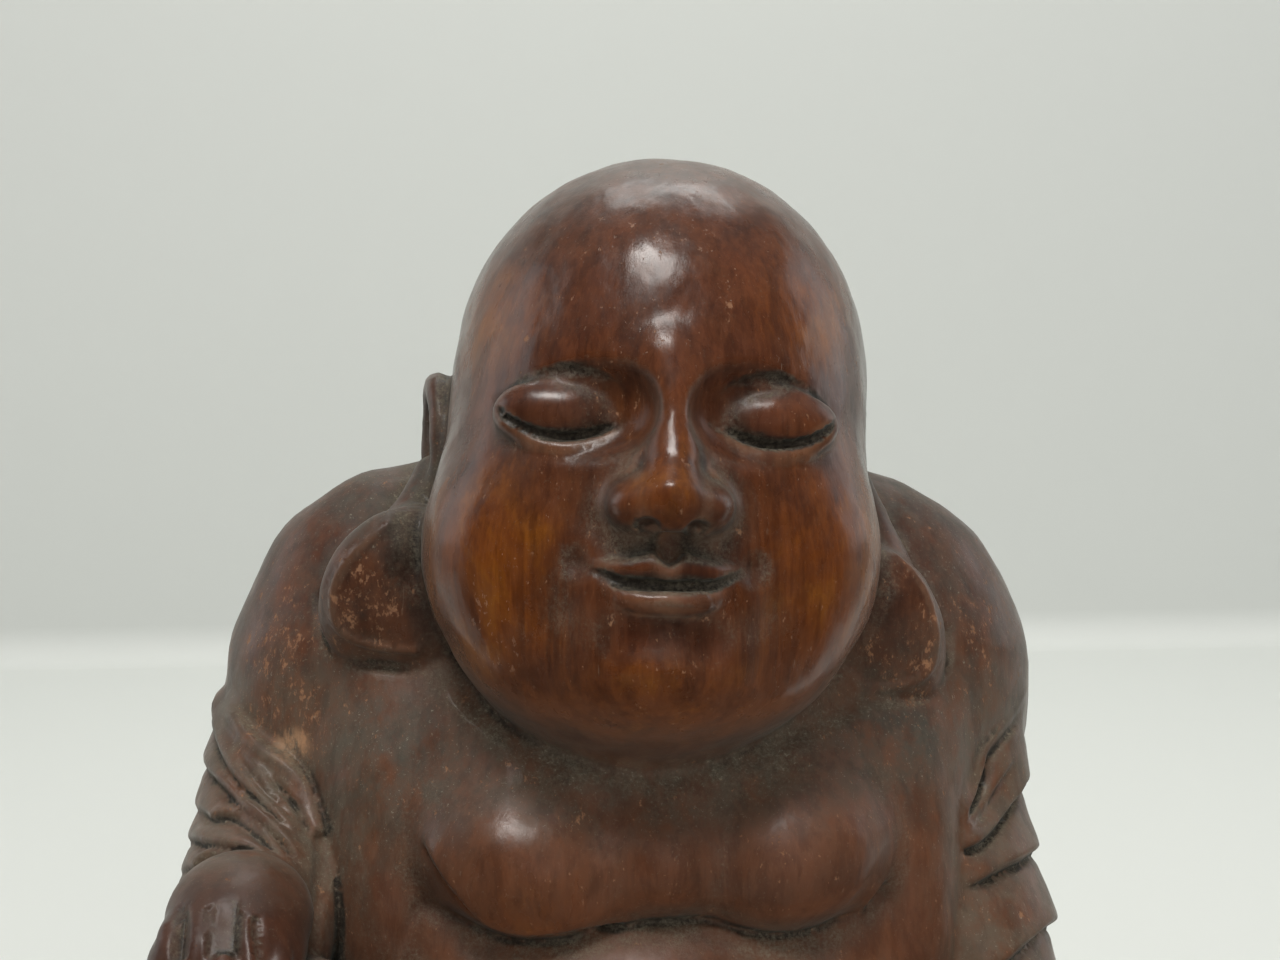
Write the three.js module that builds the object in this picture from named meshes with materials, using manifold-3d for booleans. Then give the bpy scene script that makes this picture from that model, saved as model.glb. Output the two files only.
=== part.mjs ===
// Seated figure carved from one block of dark hardwood, with a low base in the same block.
// Millimetres, +Z up, facing -Y. Origin at the middle of the underside of the base.
import * as THREE from 'three';
import { mergeVertices } from 'three/addons/utils/BufferGeometryUtils.js';
import Module from 'manifold-3d';

const { sin, cos, sqrt, abs, min, max, floor, PI } = Math;

// ---- Named sizes, in millimetres -------------------------------------------
// +x is the viewer's right, the figure faces -y, +z is up.
const FLAT = [0, 0, 0];
const BACK = [0, 20, 128], BACK_R = [72, 43, 60];
const SHOULDER = [43.9, 17, 149], SHOULDER_R = [30, 29, 33];
const CHEST = [0, 3, 137], CHEST_R = [57, 35, 26];
const BELLY = [0, -13, 72], BELLY_R = [57, 50, 47];
const HEAD = [1, -6, 196];           // middle of the head
const TILT = 10, ROLL = 3;         // head leans back and a little to one side
const HEAD_TURN = [-TILT, ROLL, 0];
const BROW_Z = 9, EYE_Z = 1, NOSE_Z = -17, MOUTH_Z = -26, CHIN_Z = -43;   // the face in equal thirds
const EYE_X = 16.5;                  // half the distance between the eyes
const KNEE_R = [-61, -43, 92];       // raised knee
const KNEE_L = [78, -28, 37];        // folded knee
const BASE = { x: 5, y: -11, half: [107, 86], power: 3.2, high: 12, edge: 2.5 };   // middle, half sizes and squareness of the low base
const CELL = 1.6;                    // grid that the carved surface is taken from
const FACETS = 8900;                 // triangles kept of it
const FLOOR = 6;                     // the carving goes this far down into the base
const LAP_EDGE = 1.3;                // half width of the step where one fold laps over the next

// ---- Carving ---------------------------------------------------------------------
// Implicit solid. A carving is a list of groups; a group is a list of
// strokes, each of which changes the group's signed distance near its own box.

const groups = [];          // { name, k, strokes }
let strokes = null;         // strokes of the group being carved
const PAD = 4;              // mm beyond a stroke's own reach
const EDGE = { half: LAP_EDGE };

const smin = (a, b, k) => { const h = max(k - abs(a - b), 0) / k; return min(a, b) - h * h * k * 0.25; };
const smax = (a, b, k) => -smin(-a, -b, k);

function group(name, k) { strokes = []; groups.push({ name, k, strokes }); }

function stroke(centres, reach, fn) {
  const lo = [1e9, 1e9, 1e9], hi = [-1e9, -1e9, -1e9];
  for (const c of centres) for (let a = 0; a < 3; a += 1) {
    lo[a] = min(lo[a], c[a] - reach - PAD);
    hi[a] = max(hi[a], c[a] + reach + PAD);
  }
  strokes.push({ lo, hi, fn });
}

function groupValue(list, x, y, z) {
  let d = 60;
  for (const s of list) {
    const { lo, hi } = s;
    if (x < lo[0] || x > hi[0] || y < lo[1] || y > hi[1] || z < lo[2] || z > hi[2]) continue;
    d = s.fn(d, x, y, z);
  }
  return d;
}

function field(x, y, z) {
  let d = 60;
  for (const g of groups) {
    const v = groupValue(g.strokes, x, y, z);
    d = smin(d, v, g.k);
  }
  return d;
}

// ---- strokes ---------------------------------------------------------------

// rotation matrix (rows) that takes a world offset into the turned ball's axes
function turned(deg) {
  const m = new THREE.Matrix4().makeRotationFromEuler(new THREE.Euler(deg[0] * PI / 180, deg[1] * PI / 180, deg[2] * PI / 180, 'XYZ'));
  const e = m.elements;
  return [e[0], e[1], e[2], e[4], e[5], e[6], e[8], e[9], e[10]];
}

function ballDistance(c, r, m, x, y, z) {
  const px = x - c[0], py = y - c[1], pz = z - c[2];
  const qx = m[0] * px + m[1] * py + m[2] * pz;
  const qy = m[3] * px + m[4] * py + m[5] * pz;
  const qz = m[6] * px + m[7] * py + m[8] * pz;
  const k0 = sqrt((qx / r[0]) ** 2 + (qy / r[1]) ** 2 + (qz / r[2]) ** 2);
  const k1 = sqrt((qx / r[0] ** 2) ** 2 + (qy / r[1] ** 2) ** 2 + (qz / r[2] ** 2) ** 2) + 1e-9;
  return k0 * (k0 - 1) / k1;
}

function ball(c, r, turn, k) {
  const m = turned(turn), reach = max(r[0], r[1], r[2]) + k;
  stroke([c], reach, (d, x, y, z) => smin(d, ballDistance(c, r, m, x, y, z), k));
}

function cutBall(c, r, turn, k) {
  const m = turned(turn), reach = max(r[0], r[1], r[2]) + k;
  stroke([c], reach, (d, x, y, z) => smax(d, -ballDistance(c, r, m, x, y, z), k));
}

// nearest point on a polyline: distance, place along it (0..1) and offset towards its sides
const near = { r: 0, t: 0, q: 0, w: 0, cap: 0 };
function nearest(points, sides, x, y, z) {
  const n = points.length - 1;
  let best = 1e18;
  for (let i = 0; i < n; i += 1) {
    const a = points[i], b = points[i + 1];
    const bx = b[0] - a[0], by = b[1] - a[1], bz = b[2] - a[2];
    const px = x - a[0], py = y - a[1], pz = z - a[2];
    let t = (px * bx + py * by + pz * bz) / (bx * bx + by * by + bz * bz);
    t = t < 0 ? 0 : t > 1 ? 1 : t;
    const ex = px - t * bx, ey = py - t * by, ez = pz - t * bz;
    const e2 = ex * ex + ey * ey + ez * ez;
    if (e2 < best) {
      best = e2;
      near.t = (i + t) / n;
      if (sides) {
        const s = sides[i], u = sides[i + 1];
        near.q = ex * (s[0] + t * (u[0] - s[0])) + ey * (s[1] + t * (u[1] - s[1])) + ez * (s[2] + t * (u[2] - s[2]));
      }
    }
  }
  near.r = sqrt(best);
  return near;
}

function along(values, t) {
  const n = values.length - 1, f = min(max(t, 0), 1) * n, i = min(floor(f), n - 1);
  return values[i] + (f - i) * (values[i + 1] - values[i]);
}

// distance to a tube whose radius changes from node to node, least of its segments
function tubeDistance(points, radii, x, y, z) {
  const n = points.length - 1;
  let best = 1e9;
  for (let i = 0; i < n; i += 1) {
    const a = points[i], b = points[i + 1];
    const bx = b[0] - a[0], by = b[1] - a[1], bz = b[2] - a[2];
    const px = x - a[0], py = y - a[1], pz = z - a[2];
    let t = (px * bx + py * by + pz * bz) / (bx * bx + by * by + bz * bz);
    t = t < 0 ? 0 : t > 1 ? 1 : t;
    const ex = px - t * bx, ey = py - t * by, ez = pz - t * bz;
    const r = along(radii, (i + t) / n);
    best = min(best, sqrt(ex * ex + ey * ey + ez * ez) - r);
  }
  return best;
}

function tube(points, radii, k) {
  stroke(points, max(...radii) + k, (d, x, y, z) => smin(d, tubeDistance(points, radii, x, y, z), k));
}

function cutTube(points, radii, k) {
  stroke(points, max(...radii) + k, (d, x, y, z) => smax(d, -tubeDistance(points, radii, x, y, z), k));
}

// box with half sizes h, rounded edge e, turned
function boxDistance(c, h, e, m, x, y, z) {
  const px = x - c[0], py = y - c[1], pz = z - c[2];
  const qx = abs(m[0] * px + m[1] * py + m[2] * pz) - h[0] + e;
  const qy = abs(m[3] * px + m[4] * py + m[5] * pz) - h[1] + e;
  const qz = abs(m[6] * px + m[7] * py + m[8] * pz) - h[2] + e;
  return sqrt(max(qx, 0) ** 2 + max(qy, 0) ** 2 + max(qz, 0) ** 2) + min(max(qx, qy, qz), 0) - e;
}

function box(c, h, e, turn, k) {
  const m = turned(turn);
  stroke([c], sqrt(h[0] ** 2 + h[1] ** 2 + h[2] ** 2) + k, (d, x, y, z) => smin(d, boxDistance(c, h, e, m, x, y, z), k));
}

function cutBox(c, h, e, turn, k) {
  const m = turned(turn);
  stroke([c], sqrt(h[0] ** 2 + h[1] ** 2 + h[2] ** 2) + k, (d, x, y, z) => smax(d, -boxDistance(c, h, e, m, x, y, z), k));
}

// keeps what lies below the sloping surface z = high - drop * max(0, from - y), lower by sag at the back
// and by lean for each millimetre towards +x
function keepBelow(high, drop, from, sag, k, lean) {
  stroke([[-200, -200, -50], [200, 200, 350]], 0, (d, x, y, z) => {
    const f = max(0, from - y), b = min(max((y - 20) / 40, 0), 1);
    return smax(d, (z - high + drop * f + sag * b * (1 - (x / 80) ** 2) + lean * max(0, x)) * 0.85, k);
  });
}

const taper = (t, fade) => {
  if (fade <= 0) return 1;
  const e = min(t, 1 - t) / fade;
  return e >= 1 ? 1 : e <= 0 ? 0 : e * e * (3 - 2 * e);
};

// V groove (depth > 0) or rounded ridge (depth < 0) along a line on the surface
function groove(points, width, depth, fade) {
  stroke(points, width, (d, x, y, z) => {
    const n = nearest(points, null, x, y, z);
    if (n.r >= width) return d;
    const u = 1 - n.r / width;
    return d + depth * taper(n.t, fade) * u * u * (1.5 - 0.5 * u);
  });
}

function ridge(points, width, height, fade) {
  stroke(points, width, (d, x, y, z) => {
    const n = nearest(points, null, x, y, z);
    if (n.r >= width) return d;
    const u = 1 - (n.r / width) ** 2;
    return d - height * taper(n.t, fade) * u * u;
  });
}

// one fold lapping over the next: the surface steps up by height at the line, on
// the side its sides point to, and falls back to nothing over wide
function lap(line, height, wide, dig, fade) {
  const { points, sides } = line;
  stroke(points, wide, (d, x, y, z) => {
    const n = nearest(points, sides, x, y, z);
    if (n.r >= wide) return d;
    const a = taper(n.t, fade), e = EDGE.half;
    const u = 1 - n.r / wide;
    const s = min(max((n.q + e) / (2 * e), 0), 1), up = s * s * (3 - 2 * s);
    const g = max(0, 1 - abs(n.q + e) / (2 * e + 1));
    return d - a * (height * up * u * sqrt(u) - dig * g * g * u);
  });
}

// ---- lines and places on the surface ----------------------------------------

function spline(points, n) {
  const c = new THREE.CatmullRomCurve3(points.map((p) => new THREE.Vector3(...p)), false, 'catmullrom', 0.5);
  return c.getPoints(n).map((p) => [p.x, p.y, p.z]);
}

function spline2(points, n) { return spline(points.map((p) => [p[0], p[1], 0]), n).map((p) => [p[0], p[1]]); }

function normalAt(list, p) {
  const e = 0.6;
  const g = [0, 1, 2].map((a) => {
    const u = [...p], v = [...p];
    u[a] += e; v[a] -= e;
    return groupValue(list, u[0], u[1], u[2]) - groupValue(list, v[0], v[1], v[2]);
  });
  const l = sqrt(g[0] ** 2 + g[1] ** 2 + g[2] ** 2) + 1e-9;
  return [g[0] / l, g[1] / l, g[2] / l];
}

// first point of the group's surface met from start along dir
function hit(start, dir) {
  let t = 0;
  const at = (u) => groupValue(strokes, start[0] + u * dir[0], start[1] + u * dir[1], start[2] + u * dir[2]);
  while (t < 300 && at(t) > 0) t += 3;
  let a = t - 3, b = t;
  for (let i = 0; i < 14; i += 1) { const m = (a + b) / 2; if (at(m) > 0) a = m; else b = m; }
  return [start[0] + b * dir[0], start[1] + b * dir[1], start[2] + b * dir[2]];
}

// points [x, z] seen from the front, laid on the surface
function front(list) { return list.map((p) => hit([p[0], -150, p[1]], [0, 1, 0])); }

// points [degrees round from the front towards +x, z], laid on the surface seen from outside towards (cx, cy)
function wrap(list, cx, cy) {
  return list.map((p) => {
    const a = p[0] * PI / 180, dx = sin(a), dy = -cos(a);
    return hit([cx + 150 * dx, cy + 150 * dy, p[1]], [-dx, -dy, 0]);
  });
}

// a fold line: points with the direction across it, in the surface, to the right of travel (flip -1: left)
function fold(points, flip) {
  const list = strokes, n = points.length;
  const sides = points.map((p, i) => {
    const a = points[max(i - 1, 0)], b = points[min(i + 1, n - 1)];
    const t = [b[0] - a[0], b[1] - a[1], b[2] - a[2]], m = normalAt(list, p);
    const s = [t[1] * m[2] - t[2] * m[1], t[2] * m[0] - t[0] * m[2], t[0] * m[1] - t[1] * m[0]];
    const l = (sqrt(s[0] ** 2 + s[1] ** 2 + s[2] ** 2) + 1e-9) * flip;
    return [s[0] / l, s[1] / l, s[2] / l];
  });
  return { points, sides };
}

// ---- small vector helpers ------------------------------------------------------
const vadd = (a, b, f) => [a[0] + f * b[0], a[1] + f * b[1], a[2] + f * b[2]];
const vcross = (a, b) => [a[1] * b[2] - a[2] * b[1], a[2] * b[0] - a[0] * b[2], a[0] * b[1] - a[1] * b[0]];
const vunit = (a) => { const l = sqrt(a[0] ** 2 + a[1] ** 2 + a[2] ** 2); return [a[0] / l, a[1] / l, a[2] / l]; };

// line where the plane through c, p and the direction e meets the surface, seen from c;
// from and to are degrees round c, 0 away from p, over n steps
function ring(c, p, e, from, to, n) {
  const nrm = vunit(vcross(vunit(e), vadd(c, p, -1)));
  const a0 = vadd(c, p, -1);
  const out = vunit(vadd(a0, nrm, -(a0[0] * nrm[0] + a0[1] * nrm[1] + a0[2] * nrm[2])));
  const side = vcross(nrm, out);
  const list = [];
  for (let i = 0; i <= n; i += 1) {
    const t = (from + (to - from) * i / n) * PI / 180;
    const u = vadd(vadd([0, 0, 0], out, cos(t)), side, sin(t));
    list.push(hitOut(c, u));
  }
  return list;
}

// first way out of the group's surface from c along u
function hitOut(c, u) {
  const at = (t) => groupValue(strokes, c[0] + t * u[0], c[1] + t * u[1], c[2] + t * u[2]);
  let t = 0;
  while (t < 60 && at(t) < 0) t += 1.5;
  let a = t - 1.5, b = t;
  for (let i = 0; i < 12; i += 1) { const m = (a + b) / 2; if (at(m) < 0) a = m; else b = m; }
  return [c[0] + b * u[0], c[1] + b * u[1], c[2] + b * u[2]];
}

// points moved from c outwards (mm > 0) or inwards
const pushed = (c, points, out) => points.map((p) => vadd(p, vunit(vadd(p, c, -1)), out));

// a roll of cloth round a limb: a tube on the ring's line, thin at both ends
function roll(c, p, e, a, b, r, sink, k) {
  const list = pushed(c, ring(c, p, e, a, b, 16), -sink);
  tube(list, [0.35 * r, 0.75 * r, 0.95 * r, r, r, r, 0.95 * r, 0.75 * r, 0.35 * r], k);
}

// a fold whose raised side faces up
function step(points, up) {
  const f = fold(points, 1);
  let t = 0;
  for (const s of f.sides) t += s[0] * up[0] + s[1] * up[1] + s[2] * up[2];
  return t > 0 ? f : { points, sides: f.sides.map((s) => [-s[0], -s[1], -s[2]]) };
}

// from the eye through places [x, z] on the upright plane y = 0, to the surface
const EYE = [-29.3, -342.9, 229.3];
function seen(list) {
  return list.map(([x, z]) => {
    const u = vunit([x - EYE[0], -EYE[1], z - EYE[2]]);
    return hit(vadd(EYE, u, 200), u);
  });
}

// ---- Surface of the solid ----------------------------------------------------------
// Polygonise a field by marching tetrahedra; vertices are shared by edge key, so the surface is closed.
function polygonise(field, lo, hi, step) {
  const n = [0, 1, 2].map((a) => Math.ceil((hi[a] - lo[a]) / step) + 1);
  const [nx, ny, nz] = n;
  const v = new Float32Array(nx * ny * nz);
  for (let k = 0, o = 0; k < nz; k += 1)
    for (let j = 0; j < ny; j += 1)
      for (let i = 0; i < nx; i += 1, o += 1)
        v[o] = field(lo[0] + i * step, lo[1] + j * step, lo[2] + k * step);
  const dx = [0, 1, 0, 1, 0, 1, 0, 1], dy = [0, 0, 1, 1, 0, 0, 1, 1], dz = [0, 0, 0, 0, 1, 1, 1, 1];
  const off = dx.map((_, c) => dx[c] + nx * (dy[c] + ny * dz[c]));
  const TETS = [[0, 1, 3, 7], [0, 3, 2, 7], [0, 2, 6, 7], [0, 6, 4, 7], [0, 4, 5, 7], [0, 5, 1, 7]];
  const ids = new Map(), pos = [], tri = [];
  const corner = (o) => [o % nx, Math.floor(o / nx) % ny, Math.floor(o / (nx * ny))];
  const edge = (a, b) => {
    if (a > b) [a, b] = [b, a];
    const key = a * 8 + off.indexOf(b - a);
    let id = ids.get(key);
    if (id === undefined) {
      const p = corner(a), q = corner(b), t = Math.min(0.95, Math.max(0.05, v[a] / (v[a] - v[b])));
      id = pos.length / 3;
      for (let c = 0; c < 3; c += 1) pos.push(lo[c] + (p[c] + t * (q[c] - p[c])) * step);
      ids.set(key, id);
    }
    return id;
  };
  for (let k = 0; k < nz - 1; k += 1)
    for (let j = 0; j < ny - 1; j += 1)
      for (let i = 0; i < nx - 1; i += 1) {
        const o = i + nx * (j + ny * k);
        let inside = 0;
        for (let c = 0; c < 8; c += 1) if (v[o + off[c]] < 0) inside += 1;
        if (inside === 0 || inside === 8) continue;
        for (const t of TETS) {
          const a = t.map((c) => o + off[c]);
          const ins = a.filter((q) => v[q] < 0), outs = a.filter((q) => v[q] >= 0);
          if (!ins.length || !outs.length) continue;
          // even permutations of (a0 a1 a2 a3) keep the turn; find it from the tet's own order
          const order = [...ins, ...outs].map((q) => a.indexOf(q));
          let swaps = 0;
          for (let x = 0; x < 4; x += 1) for (let y = x + 1; y < 4; y += 1) if (order[x] > order[y]) swaps += 1;
          const even = swaps % 2 === 0;
          const put = (x, y, z) => (even ? tri.push(x, y, z) : tri.push(x, z, y));
          if (ins.length === 1) put(edge(ins[0], outs[0]), edge(ins[0], outs[1]), edge(ins[0], outs[2]));
          else if (ins.length === 3) put(edge(ins[0], outs[0]), edge(ins[1], outs[0]), edge(ins[2], outs[0]));
          else {
            const p = edge(ins[0], outs[0]), q = edge(ins[0], outs[1]), r = edge(ins[1], outs[1]), s = edge(ins[1], outs[0]);
            put(p, q, r); put(p, r, s);
          }
        }
      }
  return { pos: Float64Array.from(pos), tri: Uint32Array.from(tri) };
}

// Even out the triangles: each vertex goes to the middle of its neighbours, then back to the surface.
function relax(field, mesh, step, rounds) {
  const { pos, tri } = mesh, nv = pos.length / 3;
  for (let r = 0; r < rounds; r += 1) {
    const sum = new Float64Array(nv * 3), count = new Uint16Array(nv);
    for (let f = 0; f < tri.length; f += 3) for (let e = 0; e < 3; e += 1) {
      const a = tri[f + e], b = tri[f + (e + 1) % 3];
      count[a] += 1;
      for (let c = 0; c < 3; c += 1) sum[3 * a + c] += pos[3 * b + c];
    }
    const h = 0.25 * step;
    for (let i = 0; i < nv; i += 1) {
      let x = sum[3 * i] / count[i], y = sum[3 * i + 1] / count[i], z = sum[3 * i + 2] / count[i];
      for (let k = 0; k < 2; k += 1) {
        const d = field(x, y, z), gx = (field(x + h, y, z) - d) / h, gy = (field(x, y + h, z) - d) / h, gz = (field(x, y, z + h) - d) / h;
        const m = Math.max(-step, Math.min(step, d)) / Math.max(gx * gx + gy * gy + gz * gz, 0.3);
        x -= m * gx; y -= m * gy; z -= m * gz;
      }
      pos[3 * i] = x; pos[3 * i + 1] = y; pos[3 * i + 2] = z;
    }
  }
}

// Quadric edge collapse down to target triangles. weight(x, y, z) > 1 keeps more detail there.
function simplify(pos, tri, target, weight) {
  const nv = pos.length / 3, nf = tri.length / 3;
  const Q = new Float64Array(nv * 10), alive = new Uint8Array(nf).fill(1), faces = Array.from({ length: nv }, () => []);
  const ver = new Uint32Array(nv), gone = new Uint8Array(nv);
  const nrm = (a, b, c, P) => {
    const ux = P[b] - P[a], uy = P[b + 1] - P[a + 1], uz = P[b + 2] - P[a + 2];
    const vx = P[c] - P[a], vy = P[c + 1] - P[a + 1], vz = P[c + 2] - P[a + 2];
    return [uy * vz - uz * vy, uz * vx - ux * vz, ux * vy - uy * vx];
  };
  for (let f = 0; f < nf; f += 1) {
    const a = tri[3 * f], b = tri[3 * f + 1], c = tri[3 * f + 2];
    faces[a].push(f); faces[b].push(f); faces[c].push(f);
    const n = nrm(3 * a, 3 * b, 3 * c, pos), l = Math.hypot(...n) + 1e-30;
    const x = n[0] / l, y = n[1] / l, z = n[2] / l, d = -(x * pos[3 * a] + y * pos[3 * a + 1] + z * pos[3 * a + 2]);
    const w = l * 0.5 * weight(pos[3 * a], pos[3 * a + 1], pos[3 * a + 2]);
    const q = [x * x, x * y, x * z, x * d, y * y, y * z, y * d, z * z, z * d, d * d];
    for (const i of [a, b, c]) for (let k = 0; k < 10; k += 1) Q[10 * i + k] += w * q[k];
  }
  const cost = (i, j, x, y, z) => {
    const s = (k) => Q[10 * i + k] + Q[10 * j + k];
    return s(0) * x * x + 2 * s(1) * x * y + 2 * s(2) * x * z + 2 * s(3) * x + s(4) * y * y + 2 * s(5) * y * z + 2 * s(6) * y + s(7) * z * z + 2 * s(8) * z + s(9);
  };
  const best = (i, j) => {
    const s = (k) => Q[10 * i + k] + Q[10 * j + k];
    const a = s(0), b = s(1), c = s(2), e = s(4), f = s(5), h = s(7), r0 = -s(3), r1 = -s(6), r2 = -s(8);
    const det = a * (e * h - f * f) - b * (b * h - f * c) + c * (b * f - e * c);
    const m = [(pos[3 * i] + pos[3 * j]) / 2, (pos[3 * i + 1] + pos[3 * j + 1]) / 2, (pos[3 * i + 2] + pos[3 * j + 2]) / 2];
    const len = Math.hypot(pos[3 * i] - pos[3 * j], pos[3 * i + 1] - pos[3 * j + 1], pos[3 * i + 2] - pos[3 * j + 2]);
    const scale = Math.max(a, e, h);
    if (Math.abs(det) > 1e-5 * scale ** 3) {
      const x = (r0 * (e * h - f * f) - b * (r1 * h - f * r2) + c * (r1 * f - e * r2)) / det;
      const y = (a * (r1 * h - f * r2) - r0 * (b * h - f * c) + c * (b * r2 - r1 * c)) / det;
      const z = (a * (e * r2 - r1 * f) - b * (b * r2 - r1 * c) + r0 * (b * f - e * c)) / det;
      if (Math.hypot(x - m[0], y - m[1], z - m[2]) < 1.5 * len) return [cost(i, j, x, y, z), x, y, z];
    }
    let out = null;
    for (const p of [m, [pos[3 * i], pos[3 * i + 1], pos[3 * i + 2]], [pos[3 * j], pos[3 * j + 1], pos[3 * j + 2]]]) {
      const k = cost(i, j, ...p);
      if (!out || k < out[0]) out = [k, ...p];
    }
    return out;
  };
  const heap = []; // [cost, i, j, ver i, ver j, x, y, z]
  const push = (e) => {
    let k = heap.push(e) - 1;
    while (k > 0) { const p = (k - 1) >> 1; if (heap[p][0] <= heap[k][0]) break; [heap[p], heap[k]] = [heap[k], heap[p]]; k = p; }
  };
  const pop = () => {
    const top = heap[0], last = heap.pop();
    if (heap.length) {
      heap[0] = last; let k = 0;
      for (;;) { let c = 2 * k + 1; if (c >= heap.length) break; if (c + 1 < heap.length && heap[c + 1][0] < heap[c][0]) c += 1; if (heap[k][0] <= heap[c][0]) break; [heap[k], heap[c]] = [heap[c], heap[k]]; k = c; }
    }
    return top;
  };
  const offer = (i, j) => { const [k, x, y, z] = best(i, j); push([k + 1e-9 * (x + y + z), i, j, ver[i], ver[j], x, y, z]); };
  for (let f = 0; f < nf; f += 1) for (let e = 0; e < 3; e += 1) { const i = tri[3 * f + e], j = tri[3 * f + (e + 1) % 3]; if (i < j) offer(i, j); }
  const ring = (i) => { const s = new Set(); for (const f of faces[i]) for (let e = 0; e < 3; e += 1) if (tri[3 * f + e] !== i) s.add(tri[3 * f + e]); return s; };
  let left = nf;
  while (left > target && heap.length) {
    const [, i, j, vi, vj, x, y, z] = pop();
    if (gone[i] || gone[j] || ver[i] !== vi || ver[j] !== vj) continue;
    const ri = ring(i), rj = ring(j);
    let shared = 0;
    for (const q of ri) if (rj.has(q)) shared += 1;
    if (shared !== 2) continue;
    let ok = true;
    const P = new Float64Array(9), mean = [0, 0, 0];
    for (const s of [i, j]) for (const f of faces[s]) { const m = nrm(3 * tri[3 * f], 3 * tri[3 * f + 1], 3 * tri[3 * f + 2], pos); for (let c = 0; c < 3; c += 1) mean[c] += m[c]; }
    const ml = Math.hypot(...mean) + 1e-30;
    for (let c = 0; c < 3; c += 1) mean[c] /= ml;
    for (const s of [i, j]) {
      for (const f of faces[s]) {
        const t = [tri[3 * f], tri[3 * f + 1], tri[3 * f + 2]];
        if (t.includes(i) && t.includes(j)) continue;
        const n0 = nrm(3 * t[0], 3 * t[1], 3 * t[2], pos), a = 3 * t[0], b = 3 * t[1], c = 3 * t[2];
        const e0 = Math.max((pos[a] - pos[b]) ** 2 + (pos[a + 1] - pos[b + 1]) ** 2 + (pos[a + 2] - pos[b + 2]) ** 2, (pos[a] - pos[c]) ** 2 + (pos[a + 1] - pos[c + 1]) ** 2 + (pos[a + 2] - pos[c + 2]) ** 2, (pos[b] - pos[c]) ** 2 + (pos[b + 1] - pos[c + 1]) ** 2 + (pos[b + 2] - pos[c + 2]) ** 2);
        for (let e = 0; e < 3; e += 1) for (let c = 0; c < 3; c += 1) P[3 * e + c] = t[e] === s ? [x, y, z][c] : pos[3 * t[e] + c];
        const n1 = nrm(0, 3, 6, P), l0 = Math.hypot(...n0), l1 = Math.hypot(...n1);
        const e2 = Math.max((P[0] - P[3]) ** 2 + (P[1] - P[4]) ** 2 + (P[2] - P[5]) ** 2, (P[0] - P[6]) ** 2 + (P[1] - P[7]) ** 2 + (P[2] - P[8]) ** 2, (P[3] - P[6]) ** 2 + (P[4] - P[7]) ** 2 + (P[5] - P[8]) ** 2);
        const thin = l0 < 0.12 * e0;
        if (l1 < 0.05 * e2 && l1 / e2 < l0 / e0) { ok = false; break; }
        if (thin) { if (mean[0] * n1[0] + mean[1] * n1[1] + mean[2] * n1[2] < 0.1 * l1) { ok = false; break; } }
        else if (n0[0] * n1[0] + n0[1] * n1[1] + n0[2] * n1[2] < 0.3 * l0 * l1) { ok = false; break; }
      }
      if (!ok) break;
    }
    if (!ok) continue;
    pos[3 * i] = x; pos[3 * i + 1] = y; pos[3 * i + 2] = z;
    for (let k = 0; k < 10; k += 1) Q[10 * i + k] += Q[10 * j + k];
    for (const f of faces[j]) {
      const t = [tri[3 * f], tri[3 * f + 1], tri[3 * f + 2]];
      if (t.includes(i)) { alive[f] = 0; left -= 1; for (const q of t) if (q !== j) faces[q] = faces[q].filter((g) => g !== f); continue; }
      for (let e = 0; e < 3; e += 1) if (t[e] === j) tri[3 * f + e] = i;
      faces[i].push(f);
    }
    gone[j] = 1; faces[j] = []; ver[i] += 1;
    for (const q of ring(i)) offer(i, q);
  }
  const map = new Int32Array(nv).fill(-1), outPos = [], outTri = [];
  for (let f = 0; f < nf; f += 1) if (alive[f]) for (let e = 0; e < 3; e += 1) {
    const i = tri[3 * f + e];
    if (map[i] < 0) { map[i] = outPos.length / 3; outPos.push(pos[3 * i], pos[3 * i + 1], pos[3 * i + 2]); }
    outTri.push(map[i]);
  }
  return { pos: outPos, tri: outTri };
}

// ---- Torso -------------------------------------------------------------------
group('torso', 1);
ball(BACK, BACK_R, FLAT, 1);
for (const s of [-1, 1]) {
  ball([s * SHOULDER[0] - 0.5 + 0.4 * s, SHOULDER[1], SHOULDER[2]], [SHOULDER_R[0] + 0.5 + 0.7 * s, SHOULDER_R[1], SHOULDER_R[2]], FLAT, 14);
}
tube([[-30, 16, 177], [-46, 15, 174.8], [-54, 14, 169.3]], [14, 13.6, 13.3], 8);
tube([[34, 16, 175.4], [44, 15, 172.2], [51.8, 14, 166.6]], [14, 13.4, 13.2], 8);
tube([[-54, 14, 150], [-57.5, 9, 136]], [19.5, 16], 8);
tube([[51.6, 14, 151], [51, 11, 143]], [18.6, 13.6], 8);
ball(CHEST, CHEST_R, FLAT, 10);
// flanks: the breast runs down into them without a fold
for (const s of [-1, 1]) {
  ball([s * 45.2 - 0.4, -1.6, 111], [14, 26.6, 41], FLAT, 9);
}
for (const s of [-1, 1]) {
  ball([s * 20.8 + 0.6, -19, 126.8], [20.8, 22, 15], [0, s * -14, 0], 7);
}
ball([0.5, -24, 127.6], [14, 16, 11.5], FLAT, 5);
// the breast ends below in a sharp cut edge
lap(step(seen(spline2([[-40.4, 122.8], [-38.1, 119.0], [-34.9, 113.8], [-31.1, 109.0], [-27.1, 105.8], [-22.0, 104.2], [-16.7, 104.4], [-10.0, 105.3], [-3.6, 106.2], [3.5, 105.6]], 26)), [0, 0, 1]), 1.5, 7, 1, 0.13);
lap(step(seen(spline2([[2.6, 105.1], [10.9, 103.5], [18.0, 101.9], [23.5, 101.0], [28.5, 100.6], [33.1, 101.1], [36.6, 102.7], [39.2, 105.5], [42.4, 109.2], [47.1, 113.5]], 26)), [0, 0, 1]), 1.5, 7, 1, 0.13);
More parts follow.
